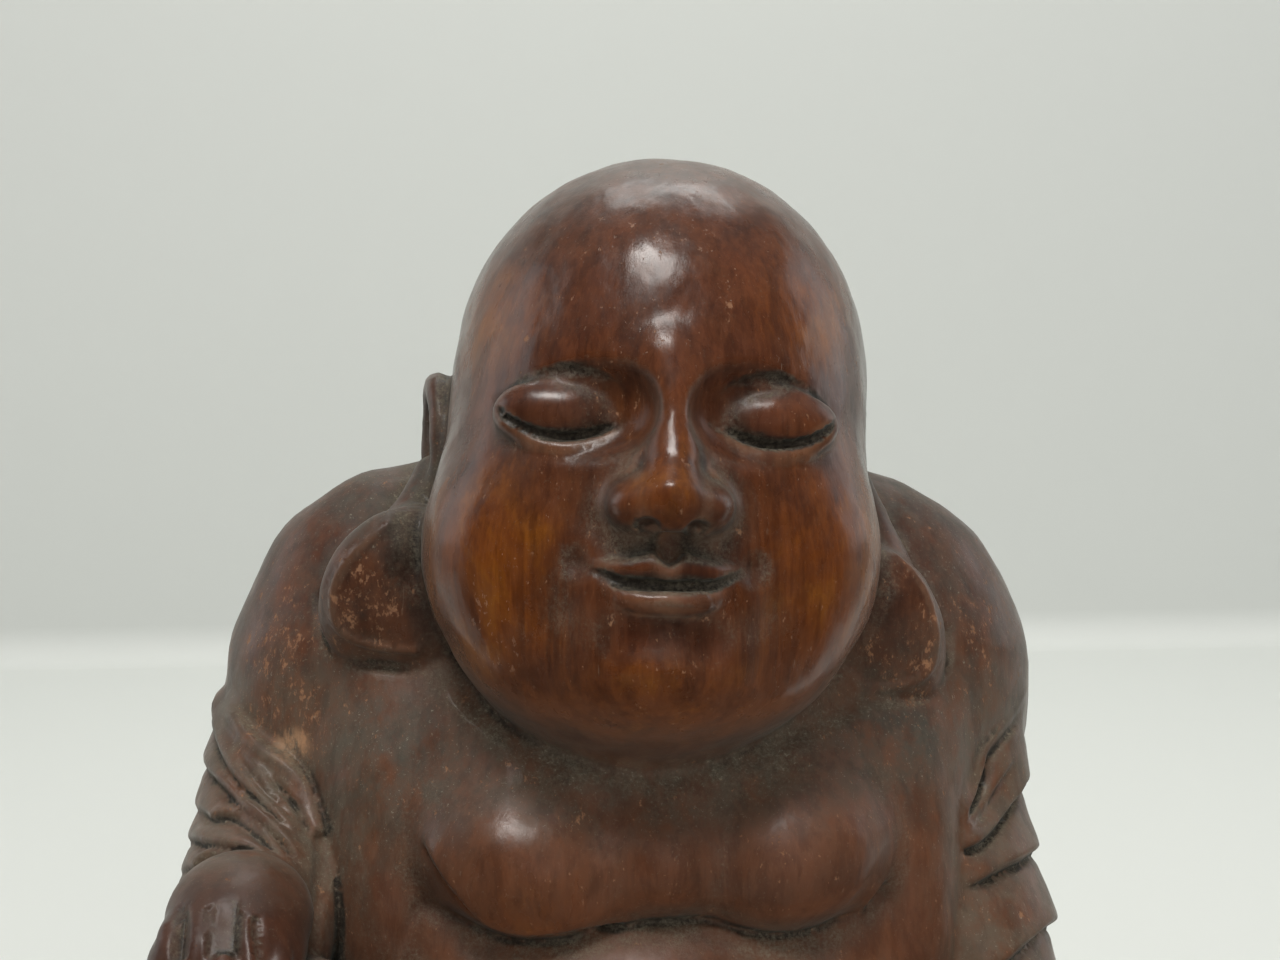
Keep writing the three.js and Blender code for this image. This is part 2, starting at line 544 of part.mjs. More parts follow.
// the breast is cut in under the jaw and the lobes
groove(seen(spline2([[-34.3, 153.9], [-29.6, 148.3], [-23.0, 142.6], [-15.8, 138.7], [-7.5, 135.9], [1.6, 133.9], [10.8, 135.1], [21.9, 139.0], [31.2, 142.6], [38.6, 146.2], [44.2, 149.4]], 24)), 4.4, 1.8, 0.1);
groove(seen(spline2([[-56.7, 169.4], [-56.6, 164.9], [-55.2, 160.5], [-52.4, 157.2], [-46.8, 155.4], [-40.7, 154.8]], 14)), 2.8, 1.5, 0.12);
groove(seen(spline2([[56.1, 161.2], [56.4, 155.9], [55.2, 151.5], [52.2, 148.1], [47.0, 146.7], [41.6, 146.7]], 14)), 2.8, 1.6, 0.12);
group('belly', 0.9);
ball(BELLY, BELLY_R, FLAT, 1);
ball([0, 2, 100], [56, 39, 30], FLAT, 12);
for (const s of [-1, 1]) {
  ball([s * 37, -1, 110], [20, 27, 25], FLAT, 8);
}
cutBall([0, -64, 74], [3.2, 6, 4.2], FLAT, 3);

// ---- Head --------------------------------------------------------------------
const M = turned(HEAD_TURN);
const onHead = (p) => [
  HEAD[0] + M[0] * p[0] + M[3] * p[1] + M[6] * p[2],
  HEAD[1] + M[1] * p[0] + M[4] * p[1] + M[7] * p[2],
  HEAD[2] + M[2] * p[0] + M[5] * p[1] + M[8] * p[2]];
const FORWARD = [-M[3], -M[4], -M[5]];   // the way the face looks
const headBall = (c, r, k) => ball(onHead(c), r, HEAD_TURN, k);
// a place on the face: x across and z up it, and out from its surface
const onFace = (x, z, out) => vadd(hit(onHead([x, -90, z]), [-FORWARD[0], -FORWARD[1], -FORWARD[2]]), FORWARD, out);
const faceLine = (list, n) => spline(list.map((p) => onFace(p[0], p[1], p[2])), n);
group('head', 1);
headBall([1.8, 5, 12], [36.4, 44, 37.9], 1);
headBall([0, -4, -15], [34.4, 37, 36], 14);
tube([onHead([0, 10, -30]), onHead([0, 22, -64])], [28, 34], 10);
for (const s of [-1, 1]) {
  headBall([s * 20.8, -13, -22], [17.4, 21, 20], 10);
}
headBall([0, -13, -38], [28, 26, 15], 9);
headBall([0, -33, CHIN_Z + 7], [11, 9, 8], 9);
// nose
tube([onFace(0, BROW_Z - 1, -3.4), onFace(0, EYE_Z, -1.6), onFace(0, -8, 1.8), onFace(0, NOSE_Z + 4, 4.4)], [4.4, 4, 4.2, 5], 6);
for (const s of [-1, 1]) {
  ball(onFace(s * 6, NOSE_Z + 3, 0.4), [4, 5.6, 3.6], HEAD_TURN, 4);
}
// brows: the hollows of the eyes cut a clean edge under them
for (const s of [-1, 1]) {
  cutBall(onFace(s * (EYE_X + 0.5), EYE_Z + 0.2, 6.4), [14.5, 9.2, 9.4], HEAD_TURN, 2);
}
// closed lids
for (const s of [-1, 1]) {
  ball(onFace(s * EYE_X, EYE_Z - 0.4, -3.6), [11.5, 6.8, 6.6], HEAD_TURN, 1.2);
}
// mound of the mouth
headBall([0, -34.5, MOUTH_Z], [14, 7, 8], 6);
for (const s of [-1, 1]) {
  cutTube(faceLine([[s * 6.6, EYE_Z - 1.2, 0.3], [s * 10.5, EYE_Z - 3.4, 0], [s * 16.5, EYE_Z - 4.6, 0], [s * 22.5, EYE_Z - 3.4, 0], [s * 27.5, EYE_Z + 0.2, 0.3]], 14), [0.3, 0.9, 1, 0.9, 0.3], 0.7);
  tube(faceLine([[s * 8, EYE_Z - 3.2, -1], [s * 11.5, EYE_Z - 5.2, -0.5], [s * 16.5, EYE_Z - 6.2, -0.3], [s * 22, EYE_Z - 5, -0.5], [s * 26, EYE_Z - 2.4, -1]], 12), [0.6, 1.1, 1.2, 1.1, 0.6], 1.2);
  cutTube(faceLine([[s * 7.5, EYE_Z + 2.4, 0.6], [s * 11, EYE_Z + 5.2, 0.3], [s * 17, EYE_Z + 6.4, 0.2], [s * 23, EYE_Z + 5, 0.3], [s * 28, EYE_Z + 1.2, 0.6]], 14), [0.3, 0.7, 0.8, 0.7, 0.3], 0.8);
  cutBall(onFace(s * 3.8, NOSE_Z - 0.4, 0.4), [1.8, 2.6, 1.5], HEAD_TURN, 0.8);
}
const UPPER = faceLine([[-12.5, MOUTH_Z + 2.6, -1.6], [-6.5, MOUTH_Z + 2.2, 0.1], [-2.2, MOUTH_Z + 2.9, 0.5], [0, MOUTH_Z + 2.1, 0.4], [2.2, MOUTH_Z + 2.9, 0.5], [6.5, MOUTH_Z + 2.2, 0.1], [12.5, MOUTH_Z + 2.6, -1.6]], 18);
const LOWER = faceLine([[-11, MOUTH_Z + 0.8, -1.6], [-5, MOUTH_Z - 2.6, 0], [0, MOUTH_Z - 3.6, 0.3], [5, MOUTH_Z - 2.6, 0], [11, MOUTH_Z + 0.8, -1.6]], 16);
tube(UPPER, [0.7, 1.7, 2.1, 1.9, 2.1, 1.7, 0.7], 0.9);
tube(LOWER, [0.7, 2.2, 2.8, 2.2, 0.7], 0.9);
cutTube(faceLine([[-14, MOUTH_Z + 3.2, 0.2], [-7, MOUTH_Z + 0.1, 0.1], [0, MOUTH_Z - 0.2, 0.2], [7, MOUTH_Z + 0.1, 0.1], [14, MOUTH_Z + 3.2, 0.2]], 18), [0.4, 0.9, 0.9, 0.9, 0.4], 0.6);
for (const s of [-1, 1]) {
  cutBall(onFace(s * 14.6, MOUTH_Z + 3, 1.9), [1.6, 2.4, 2], HEAD_TURN, 2.5);
}
cutTube(faceLine([[0, NOSE_Z - 2.2, 1], [0, MOUTH_Z + 4.6, 0.8]], 3), [1.6, 1.6], 1.6);
cutTube(faceLine([[-8, MOUTH_Z - 9.2, 3.4], [0, MOUTH_Z - 8, 3.2], [8, MOUTH_Z - 9.2, 3.4]], 6), [3.8, 4.4, 3.8], 3);

// ears with long lobes that lie on the shoulders
for (const s of [-1, 1]) {
  headBall([s * 34.8, 10, -5], [4.4, 9.5, 15], 2);
  cutBall(onHead([s * 40, 8, -3.6]), [3.6, 4.6, 8.4], HEAD_TURN, 1);
  tube(spline([onHead([s * 36, 2, -14]), onHead([s * 36.6, 1.5, -5]), onHead([s * 37.2, 3.5, 3.6]), onHead([s * 37.8, 9, 8.4]), onHead([s * 38.2, 15, 6.6]), onHead([s * 38.2, 17.5, -2]), onHead([s * 37.6, 15, -12]), onHead([s * 37, 10, -20])], 20), [2, 1.8, 2, 2.4, 2.4, 2.4, 2.6, 3.4], 0.8);
  tube([onHead([s * 35.5, 6, -16]), onHead([s * 36.5, 3, -25])], [3.8, 4.6], 3);
}
ball([-44.2, -9.6, 170.2], [12.8, 7, 15.6], [12, 20, 20], 2);
ball([-39.5, -10.5, 165.5], [8.5, 6.5, 10.5], [8, 6, 0], 3);
ball([40, -10.6, 158.6], [13.4, 7.4, 19], [12, -6, -10], 1.6);
tube([[-37, 0, 189], [-39.5, -4, 183], [-43, -8, 176]], [3.6, 4.6, 7], 3);
tube([[37.6, 0, 188], [40, -4, 180], [42, -8, 169]], [3.6, 4.6, 7.4], 3);
// raised rims of the lobes
tube(seen(spline2([[-45.3, 180.3], [-48.9, 177.3], [-52.2, 173.9], [-54.4, 170.3], [-55.3, 166.3], [-54.7, 162.3], [-52.0, 159.6], [-46.2, 158.0], [-40.7, 157.3]], 26)), [0.3, 0.5, 0.6, 0.7, 0.7, 0.7, 0.6, 0.6, 0.5], 1.2);
tube(seen(spline2([[46.8, 173.2], [48.9, 171.3], [51.0, 168.7], [52.7, 165.7], [53.9, 162.0], [54.5, 157.5], [53.7, 153.0], [51.1, 150.2], [46.8, 148.8], [41.9, 148.5]], 26)), [0.3, 0.5, 0.6, 0.7, 0.7, 0.7, 0.7, 0.6, 0.6, 0.5], 1.2);

// ---- Robe: back, seat and sleeves -----------------------------------------------
group('robe', 0.8);
ball([0, 21, 118], [74.5, 45.5, 66], FLAT, 1);
ball([0, 20, 44], [80, 50, 40], FLAT, 16);
cutBox([-3.6, -70, 110], [55.1, 62, 90], 8, FLAT, 4);
tube([[-57, 13, 150], [-61.3, 8, 136.4], [-63.8, -4, 122], [-68.2, -23, 114]], [17.8, 17.6, 17.3, 14], 5);
tube([[55, 8, 149], [55, 5, 126], [57.8, -3, 98], [64.4, -26, 74]], [17.4, 16.8, 17, 13], 5);
ball([57.8, -1, 86], [17, 24, 38], FLAT, 8);
ball([51.6, -6, 103], [8.6, 16.4, 38], FLAT, 5);
keepBelow(150, 0.6, 4, 4, 1.5, 0.05);
// collar: the rolled top edge, right round the back
tube(pushed([0, 20, 146], wrap([[92, 144], [110, 143.2], [135, 142], [160, 142], [180, 142.5], [200, 143], [225, 144.5], [250, 146.5], [268, 147.5]], 0, 20), -1.4), [3.2, 3.4, 3.4, 3.2], 1);
// right sleeve: a rolled edge over the skin, then folds from the breast round the outside of the arm
const R_ARM = [-60, 2, 132];
tube(pushed(R_ARM, [...wrap([[-160, 146.5], [-130, 147], [-100, 147], [-86, 146.5]], -58, 10), ...seen(spline2([[-73.2, 145.6], [-71.2, 141.9], [-68.0, 139.0], [-64.2, 136.4], [-61.4, 133.2], [-59.5, 128.7], [-58.2, 123.8]], 14))], -0.4), [0.8, 1.3, 1.5, 1.5, 1.5, 1.4, 1.1], 1);
lap(step([...wrap([[-160, 146], [-120, 146.5], [-97, 146.5], [-84, 143.5]], -58, 9), ...seen(spline2([[-75.1, 138.5], [-73.4, 135.5], [-71.0, 132.5], [-68.2, 129.5], [-65.3, 126.4], [-61.9, 123.2]], 12))], [0, 0, 1]), 2, 4.2, 1.1, 0.2);
lap(step(seen(spline2([[-72.6, 140.1], [-70.2, 136.3], [-67.5, 132.4], [-64.5, 129.0], [-61.4, 125.6]], 12)), [0, 0, 1]), 1.2, 2.8, 0.9, 0.3);
lap(step(seen(spline2([[-67.7, 136.3], [-65.1, 133.3], [-62.5, 129.7], [-60.5, 125.7], [-59.1, 121.6]], 12)), [0, 0, 1]), 1.2, 2.8, 0.9, 0.3);
lap(step([...wrap([[-160, 137], [-120, 137], [-95, 136.5]], -59, 6), ...seen(spline2([[-75.9, 133.9], [-74.0, 131.8], [-72.1, 129.4], [-69.7, 127.3], [-66.9, 124.6], [-63.9, 121.0], [-61.3, 117.2]], 14))], [0, 0, 1]), 2.1, 4.6, 1.2, 0.2);
lap(step([...wrap([[-160, 130], [-120, 129.5], [-95, 128.8]], -60, 3), ...seen(spline2([[-77.5, 127.3], [-75.0, 127.6], [-72.7, 127.4], [-70.6, 125.6], [-68.5, 123.2], [-65.9, 120.3], [-62.9, 117.2]], 14))], [0, 0, 1]), 2.3, 4.4, 1.2, 0.25);
lap(step([...wrap([[-160, 121.5], [-120, 122], [-95, 122.8]], -60, 0), ...seen(spline2([[-79.0, 122.7], [-76.9, 122.3], [-74.4, 121.7], [-71.6, 121.2], [-68.8, 119.5], [-66.2, 117.5], [-63.7, 115.2], [-61.0, 113.1]], 14))], [0, 0, 1]), 2.3, 4.4, 1.2, 0.2);
lap(step([...wrap([[-160, 111.5], [-120, 113], [-95, 116.8]], -61, -4), ...seen(spline2([[-80.6, 118.1], [-79.1, 119.6], [-77.3, 120.3], [-74.8, 119.8], [-72.0, 118.8], [-68.8, 117.0], [-65.3, 114.3]], 14))], [0, 0, 1]), 2, 4, 1.1, 0.2);
// left sleeve: two rolls, then overlapping flat panels
lap(step([...seen(spline2([[58.7, 121.0], [59.8, 125.6], [61.2, 128.2], [62.9, 132.0], [64.3, 136.0], [66.5, 138.7], [68.6, 141.7], [70.0, 144.2]], 16)), ...wrap([[100, 143.5], [125, 143], [155, 142]], 54, 10)], [0, 0, 1]), 2.2, 8, 1.4, 0.15);
lap(step([...seen(spline2([[58.8, 117.6], [60.8, 118.3], [63.3, 119.8], [65.5, 122.0], [67.4, 124.6], [69.2, 127.6], [70.3, 129.7]], 16)), ...wrap([[100, 129.5], [125, 128], [155, 127]], 55, 8)], [0, 0, 1]), 2.6, 14, 1.3, 0.15);
lap(step([...seen(spline2([[59.8, 109.9], [64.6, 112.4], [67.8, 113.9], [70.4, 115.1], [72.5, 116.6]], 14)), ...wrap([[95, 115.5], [120, 112], [155, 110]], 56, 4)], [0, 0, 1]), 2.8, 15, 0.8, 0.2);
lap(step([...seen(spline2([[62.1, 91.4], [66.8, 94.3], [69.5, 96.6], [71.9, 98.8], [74.4, 101.3], [76.3, 102.8]], 14)), ...wrap([[95, 102], [120, 97], [155, 93]], 58, 0)], [0, 0, 1]), 2.8, 15, 0.8, 0.15);
lap(step(wrap([[10, 76], [40, 82], [70, 86], [95, 87], [120, 82], [155, 77]], 60, -2), [0, 0, 1]), 2.8, 15, 0.8, 0.15);
lap(step(seen(spline2([[70.6, 136.0], [68.4, 132.8], [66.5, 129.8], [64.5, 126.4], [62.3, 123.0], [60.0, 120.2]], 12)), [0, 0, 1]), 1.3, 3.4, 1, 0.3);
groove(seen(spline2([[69.2, 145.5], [67.2, 143.7], [64.6, 140.1], [61.5, 135.3], [58.7, 130.6], [56.9, 126.0]], 14)), 2.2, 1.3, 0.12);
groove(seen(spline2([[56.5, 128.0], [56.2, 123.4], [56.1, 117.6], [56.6, 111.9], [56.1, 106.1], [56.8, 101.3], [57.0, 96.0]], 18)), 2, 1.5, 0.12);
groove(seen(spline2([[-58.7, 124.9], [-57.9, 120.8], [-58.3, 115.2], [-58.9, 110.6], [-59.8, 105.0], [-60.2, 99.9]], 16)), 2.6, 2.2, 0.12);
// back of the robe: hanging folds
for (let i = 0; i < 4; i += 1) {
  const z = 128 - 21 * i;
  lap(step(wrap(spline2([[108, z + 12], [135, z - 2], [180, z - 10], [225, z - 2], [252, z + 12]], 30), 0, 20), [0, 0, 1]), 2.2, 15, 0.5, 0.25);
}
// front edges of the robe, beside the belly
tube(spline([[-54, -24, 102], [-56, -31, 92], [-55, -37, 80], [-48, -44, 62]], 10), [1.5, 4.5, 5, 4], 1);
tube(spline([[50, -24, 102], [52, -29, 92], [53, -35, 78], [48, -42, 60]], 10), [1.5, 4.5, 5, 4], 1);

// ---- Legs under the robe ----------------------------------------------------------
group('legs', 0.8);
ball([0, 14, 38], [83, 54, 32], FLAT, 1);
tube([[-32, 0, 44], KNEE_R], [30, 22], 12);
tube([KNEE_R, [-57, -58, 30]], [22, 17.5], 8);
ball([-57, -59, 24], [19, 19, 10], FLAT, 6);
tube([[34, 0, 40], KNEE_L], [28, 22], 12);
tube([KNEE_L, [24, -58, 24]], [21, 14], 8);
ball([-8, -38, 28], [50, 24, 26], FLAT, 10);
ball([-2, -40, 14], [60, 28, 12], FLAT, 8);
// folds round the raised shin, seen from its axis, and hem above the foot
for (let i = 0; i < 4; i += 1) {
  const c = [-60 + i, -46 - 3.4 * i, 80 - 13 * i];
  lap(step(ring(c, [c[0] + 20, c[1] + 2, c[2] - 13 + 3 * i], [0, 1, 0.35], -120, 130, 24), [0, 0, 1]), 2.6, 13, 0.8, 0.25);
}
lap(step(ring([-57, -58, 26], [-40, -58, 25], [0, 1, 0.1], -150, 150, 24), [0, 0, 1]), 2.6, 11, 0.5, 0.15);
// folds over the folded leg
for (let i = 0; i < 4; i += 1) {
  const c = [70 - 14 * i, -33 - 7.5 * i, 34 - 3 * i];
  lap(step(ring(c, [c[0] + 4, c[1] + 10, c[2] - 20], [0.55, 1, 0], -115, 115, 24), [1, 0, 0]), 2.4, 12, 0.8, 0.25);
}
// cloth hanging between the legs, in deep loops
for (let i = 0; i < 4; i += 1) {
  const z = 50 - 11 * i;
  lap(step(front(spline2([[-42, z + 18], [-28, z + 4], [-8, z - 6], [14, z - 6], [34, z + 2], [46, z + 10]], 26)), [0, 0, 1]), 3, 13, 1, 0.2);
}
// waistband and its knot
tube(spline([[-50, -24, 64], [-38, -45, 51], [-18, -59, 43], [0, -62, 40], [18, -59, 43], [38, -45, 51], [50, -24, 62]], 18), [3.5, 4.5, 4.8, 4.5, 3.5], 1);
ball([9, -65, 41], [8.5, 6.5, 6.5], FLAT, 1);
tube([[8, -66, 38], [4, -68, 26], [1, -70, 15]], [3.6, 4.6, 5.6], 1);
tube([[11, -66, 38], [17, -67, 28], [20, -69, 18]], [3.4, 4.4, 5.2], 1);

// ---- Hands and feet -------------------------------------------------------------
group('hands', 0.8);
ball([-68.4, -37, 121.6], [11.8, 14.5, 9], [14, 0, 3], 1);
ball([-69.5, -45, 117.4], [12.2, 9, 8], [24, 4, 6], 3);
tube(spline([[-78.2, -41, 122.6], [-78.1, -46.4, 122], [-78.6, -51, 113.5], [-78.6, -53.2, 103], [-78, -55, 96]], 10), [1.4, 1.8, 1.9, 1.9, 1.7], 0.7);
tube(spline([[-73.8, -42, 123.8], [-73.8, -47.6, 122.9], [-74.2, -54, 113.8], [-74.4, -58, 103.5], [-74.2, -60, 96]], 10), [1.9, 2.4, 2.6, 2.5, 2], 0.7);
tube(spline([[-69.1, -41.6, 124.4], [-69.1, -47.2, 123.5], [-69.3, -55.4, 114], [-69.5, -61.4, 104], [-69.4, -63.5, 96]], 10), [2.1, 2.5, 2.7, 2.7, 2.3], 0.7);
tube(spline([[-65, -43, 123], [-65, -48.4, 122.3], [-65, -56.4, 113.6], [-65, -62.6, 104], [-65, -64.6, 96]], 10), [1.5, 1.9, 2.3, 2.4, 2], 0.7);
tube(spline([[-61.4, -40, 121], [-61.2, -46.8, 120.4], [-60.9, -55.5, 112], [-60.6, -61.5, 103], [-60.6, -63.5, 96]], 10), [1.8, 2.3, 2.6, 2.5, 2.1], 0.7);
groove(seen(spline2([[-83.7, 111.7], [-84.0, 106.7], [-84.5, 100.7]], 8)), 1.3, 1.1, 0.12);
groove(seen(spline2([[-78.4, 111.4], [-78.2, 106.5], [-77.9, 100.5]], 8)), 1.5, 1.5, 0.12);
groove(seen(spline2([[-72.9, 110.1], [-73.4, 106.4], [-74.0, 100.4]], 8)), 1.4, 1.3, 0.12);
groove(seen(spline2([[-70.1, 109.1], [-70.0, 105.3], [-69.7, 100.2]], 8)), 1.4, 1.2, 0.12);
// knife-cut flats
cutBox([-69, -50.5, 126.7], [2.1, 5, 3], 0.3, [45, 6, 0], 0.3);
cutBox([-75.5, -49.6, 125.2], [1.4, 5, 3], 0.3, [45, 24, 0], 0.3);
ball([67, -40, 64], [13.5, 14, 8.5], [-25, 0, 0], 1);
for (let i = 0; i < 4; i += 1) {
  const x = 57.2 + 6.6 * i;
  tube([[x + 0.8, -44, 66], [x, -54, 64], [x, -61, 55], [x, -61, 43]], [3.6, 3.8, 3.6, 3], 0.6);
}
tube([[57, -36, 62], [50, -46, 60], [47, -54, 54]], [4.6, 4.4, 3.6], 2);

group('feet', 0.8);
ball([-56, -71, 18.5], [13, 17, 9.5], FLAT, 1);
for (let i = 0; i < 5; i += 1) {
  ball([-66.5 + 5.1 * i, -85.5 + 0.9 * (i - 3) * (i - 3), 15.5], [3, 4.6, 3.8], FLAT, 0.8);
}
ball([30, -72, 18], [22, 11, 8.5], [0, 0, -6], 1);
for (let i = 0; i < 4; i += 1) {
  ball([8.5 + 0.6 * i, -78.5 + 4.4 * i, 17.5], [4.4, 2.7, 3.4], FLAT, 0.8);
}

// ---- Solid -----------------------------------------------------------------------
const solidField = (x, y, z) => max(field(x, y, z), FLOOR - z);
const carved = polygonise(solidField, [-110, -96, FLOOR - 3], [110, 80, 252], CELL);
relax(solidField, carved, CELL, 2);
const nearFace = (x, y, z) => (z > 150 && z < 215 && y < 0 && abs(x) < 32 ? 9 : 1);
const figure = largest(simplify(carved.pos, carved.tri, FACETS, nearFace));

// the piece with the most triangles
function largest(mesh) {
  const parent = Array.from({ length: mesh.pos.length / 3 }, (_, i) => i);
  const root = (i) => { while (parent[i] !== i) { parent[i] = parent[parent[i]]; i = parent[i]; } return i; };
  for (let f = 0; f < mesh.tri.length; f += 3) { parent[root(mesh.tri[f])] = root(mesh.tri[f + 1]); parent[root(mesh.tri[f + 1])] = root(mesh.tri[f + 2]); }
  const size = new Map();
  for (let f = 0; f < mesh.tri.length; f += 3) { const r = root(mesh.tri[f]); size.set(r, (size.get(r) || 0) + 1); }
  const best = [...size.entries()].sort((a, b) => b[1] - a[1])[0][0];
  const keep = [];
  for (let f = 0; f < mesh.tri.length; f += 3) if (root(mesh.tri[f]) === best) keep.push(mesh.tri[f], mesh.tri[f + 1], mesh.tri[f + 2]);
  return { pos: mesh.pos, tri: keep };
}

// low base: a squarish oval with eased edges
const outline = [];
for (let i = 0; i < 60; i += 1) {
  const a = 2 * PI * i / 60, c = cos(a), s = sin(a), q = 2 / BASE.power;
  outline.push(new THREE.Vector2(BASE.x + (BASE.half[0]) * Math.sign(c) * abs(c) ** q, BASE.y + (BASE.half[1]) * Math.sign(s) * abs(s) ** q));
}
const slab = new THREE.ExtrudeGeometry(new THREE.Shape(outline), { depth: BASE.high - 2 * BASE.edge, bevelEnabled: true, bevelThickness: BASE.edge, bevelSize: BASE.edge, bevelOffset: -BASE.edge, bevelSegments: 2, steps: 1 });
slab.translate(0, 0, BASE.edge);

const wasm = await Module();
wasm.setup();
function solid(geometry) {
  geometry.deleteAttribute('normal');
  geometry.deleteAttribute('uv');
  const g = mergeVertices(geometry, 1e-4);
  return new wasm.Manifold(new wasm.Mesh({ numProp: 3, vertProperties: Float32Array.from(g.attributes.position.array), triVerts: Uint32Array.from(g.index.array) }));
}
function indexed(pos, tri) {
  const g = new THREE.BufferGeometry();
  g.setAttribute('position', new THREE.BufferAttribute(Float32Array.from(pos), 3));
  g.setIndex(Array.from(tri));
  return g;
}
const body = solid(indexed(figure.pos, figure.tri)).add(solid(slab)).getMesh();
const geometry = indexed(body.vertProperties, body.triVerts);
geometry.translate(-BASE.x, -BASE.y, 0);
geometry.computeVertexNormals();

const lacquered = new THREE.MeshStandardMaterial({ color: 0x4a2115, roughness: 0.36, metalness: 0 });
const carving = new THREE.Mesh(geometry, lacquered);
carving.name = 'buddha_figure';

const statue = new THREE.Group();
statue.add(carving);
export default statue;
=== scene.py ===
import math

import bpy
import numpy as np
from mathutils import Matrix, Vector


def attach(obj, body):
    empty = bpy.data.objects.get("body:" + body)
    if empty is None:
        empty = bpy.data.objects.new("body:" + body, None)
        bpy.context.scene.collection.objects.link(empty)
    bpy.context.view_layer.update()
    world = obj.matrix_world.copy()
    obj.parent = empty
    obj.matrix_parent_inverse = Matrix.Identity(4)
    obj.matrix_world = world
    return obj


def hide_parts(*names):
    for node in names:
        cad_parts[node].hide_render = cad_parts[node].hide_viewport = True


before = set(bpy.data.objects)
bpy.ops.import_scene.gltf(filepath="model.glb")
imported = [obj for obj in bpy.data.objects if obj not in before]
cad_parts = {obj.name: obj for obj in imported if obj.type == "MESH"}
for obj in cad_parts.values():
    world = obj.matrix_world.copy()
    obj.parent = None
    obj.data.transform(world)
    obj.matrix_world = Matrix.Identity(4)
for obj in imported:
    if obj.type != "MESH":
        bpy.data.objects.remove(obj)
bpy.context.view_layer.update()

# ---- Sizes, in millimetres -----------------------------------------------------------
BASE = {"x": 5, "y": -11, "half": [107, 86], "power": 3.2, "high": 12, "edge": 2.5}  # the low base
FLOOR = 6          # the carving goes this far down into the base
LAP_EDGE = 0.75    # half width of the step where one fold laps over the next
CELL = 0.8         # grid that the surface is taken from
TRIANGLES = 196000

# ---- Carving: an implicit solid made of strokes --------------------------------------
# A carving is a list of groups; a group is a list of strokes, each of which changes the
# group's signed distance near its own box. Millimetres.
EYE = [-29.3, -342.9, 229.3]  # the eye that some folds are laid out from
GROUPS = []
PAD = 4.0
F32 = np.float32


def smin(a, b, k):
    h = np.maximum(k - np.abs(a - b), 0) * F32(1.0 / k)
    return np.minimum(a, b) - h * h * F32(0.25 * k)


def smax(a, b, k):
    h = np.maximum(k - np.abs(a - b), 0) * F32(1.0 / k)
    return np.maximum(a, b) + h * h * F32(0.25 * k)


def group(name, k):
    GROUPS.append({"name": name, "k": k, "strokes": [], "table": None})


def stroke(centres, reach, kind, data, fn):
    c = np.asarray(centres, float)
    GROUPS[-1]["strokes"].append({"low": c.min(0) - reach - PAD, "high": c.max(0) + reach + PAD, "kind": kind, "data": data, "fn": fn})
    GROUPS[-1]["table"] = None


def table(g):
    """the group's strokes as arrays: boxes, balls and the segments of tubes and lines"""
    if g["table"] is not None:
        return g["table"]
    st = g["strokes"]
    t = {"low": np.array([s["low"] for s in st]), "high": np.array([s["high"] for s in st])}
    balls = [i for i, s in enumerate(st) if s["kind"] == "ball"]
    t["balls"] = np.array(balls, int)
    t["ball_rows"] = np.array([st[i]["data"][0] for i in balls]).reshape(-1, 3, 3)
    t["ball_c"] = np.array([st[i]["data"][1] for i in balls]).reshape(-1, 3)
    t["ball_w"] = np.array([st[i]["data"][2] for i in balls]).reshape(-1, 3).astype(F32)
    lines = [i for i, s in enumerate(st) if s["kind"] in ("tube", "line")]
    a, b, r, dr, owner = [np.zeros((0, 3))], [np.zeros((0, 3))], [np.zeros(0)], [np.zeros(0)], [np.zeros(0, int)]
    for i in lines:
        p, q = st[i]["data"]
        a.append(p[:-1])
        b.append(p[1:] - p[:-1])
        r.append(q[:-1])
        dr.append(q[1:] - q[:-1])
        owner.append(np.full(len(p) - 1, i))
    t["a"], t["b"], t["r"], t["dr"], t["owner"] = [np.concatenate(v) for v in (a, b, r, dr, owner)]
    t["l2"] = (t["b"] ** 2).sum(1) + 1e-12
    t["r_max"] = np.maximum(t["r"], t["r"] + t["dr"])
    t["tubes"] = np.array([s["kind"] == "tube" for s in st] + [False])
    g["table"] = t
    return t


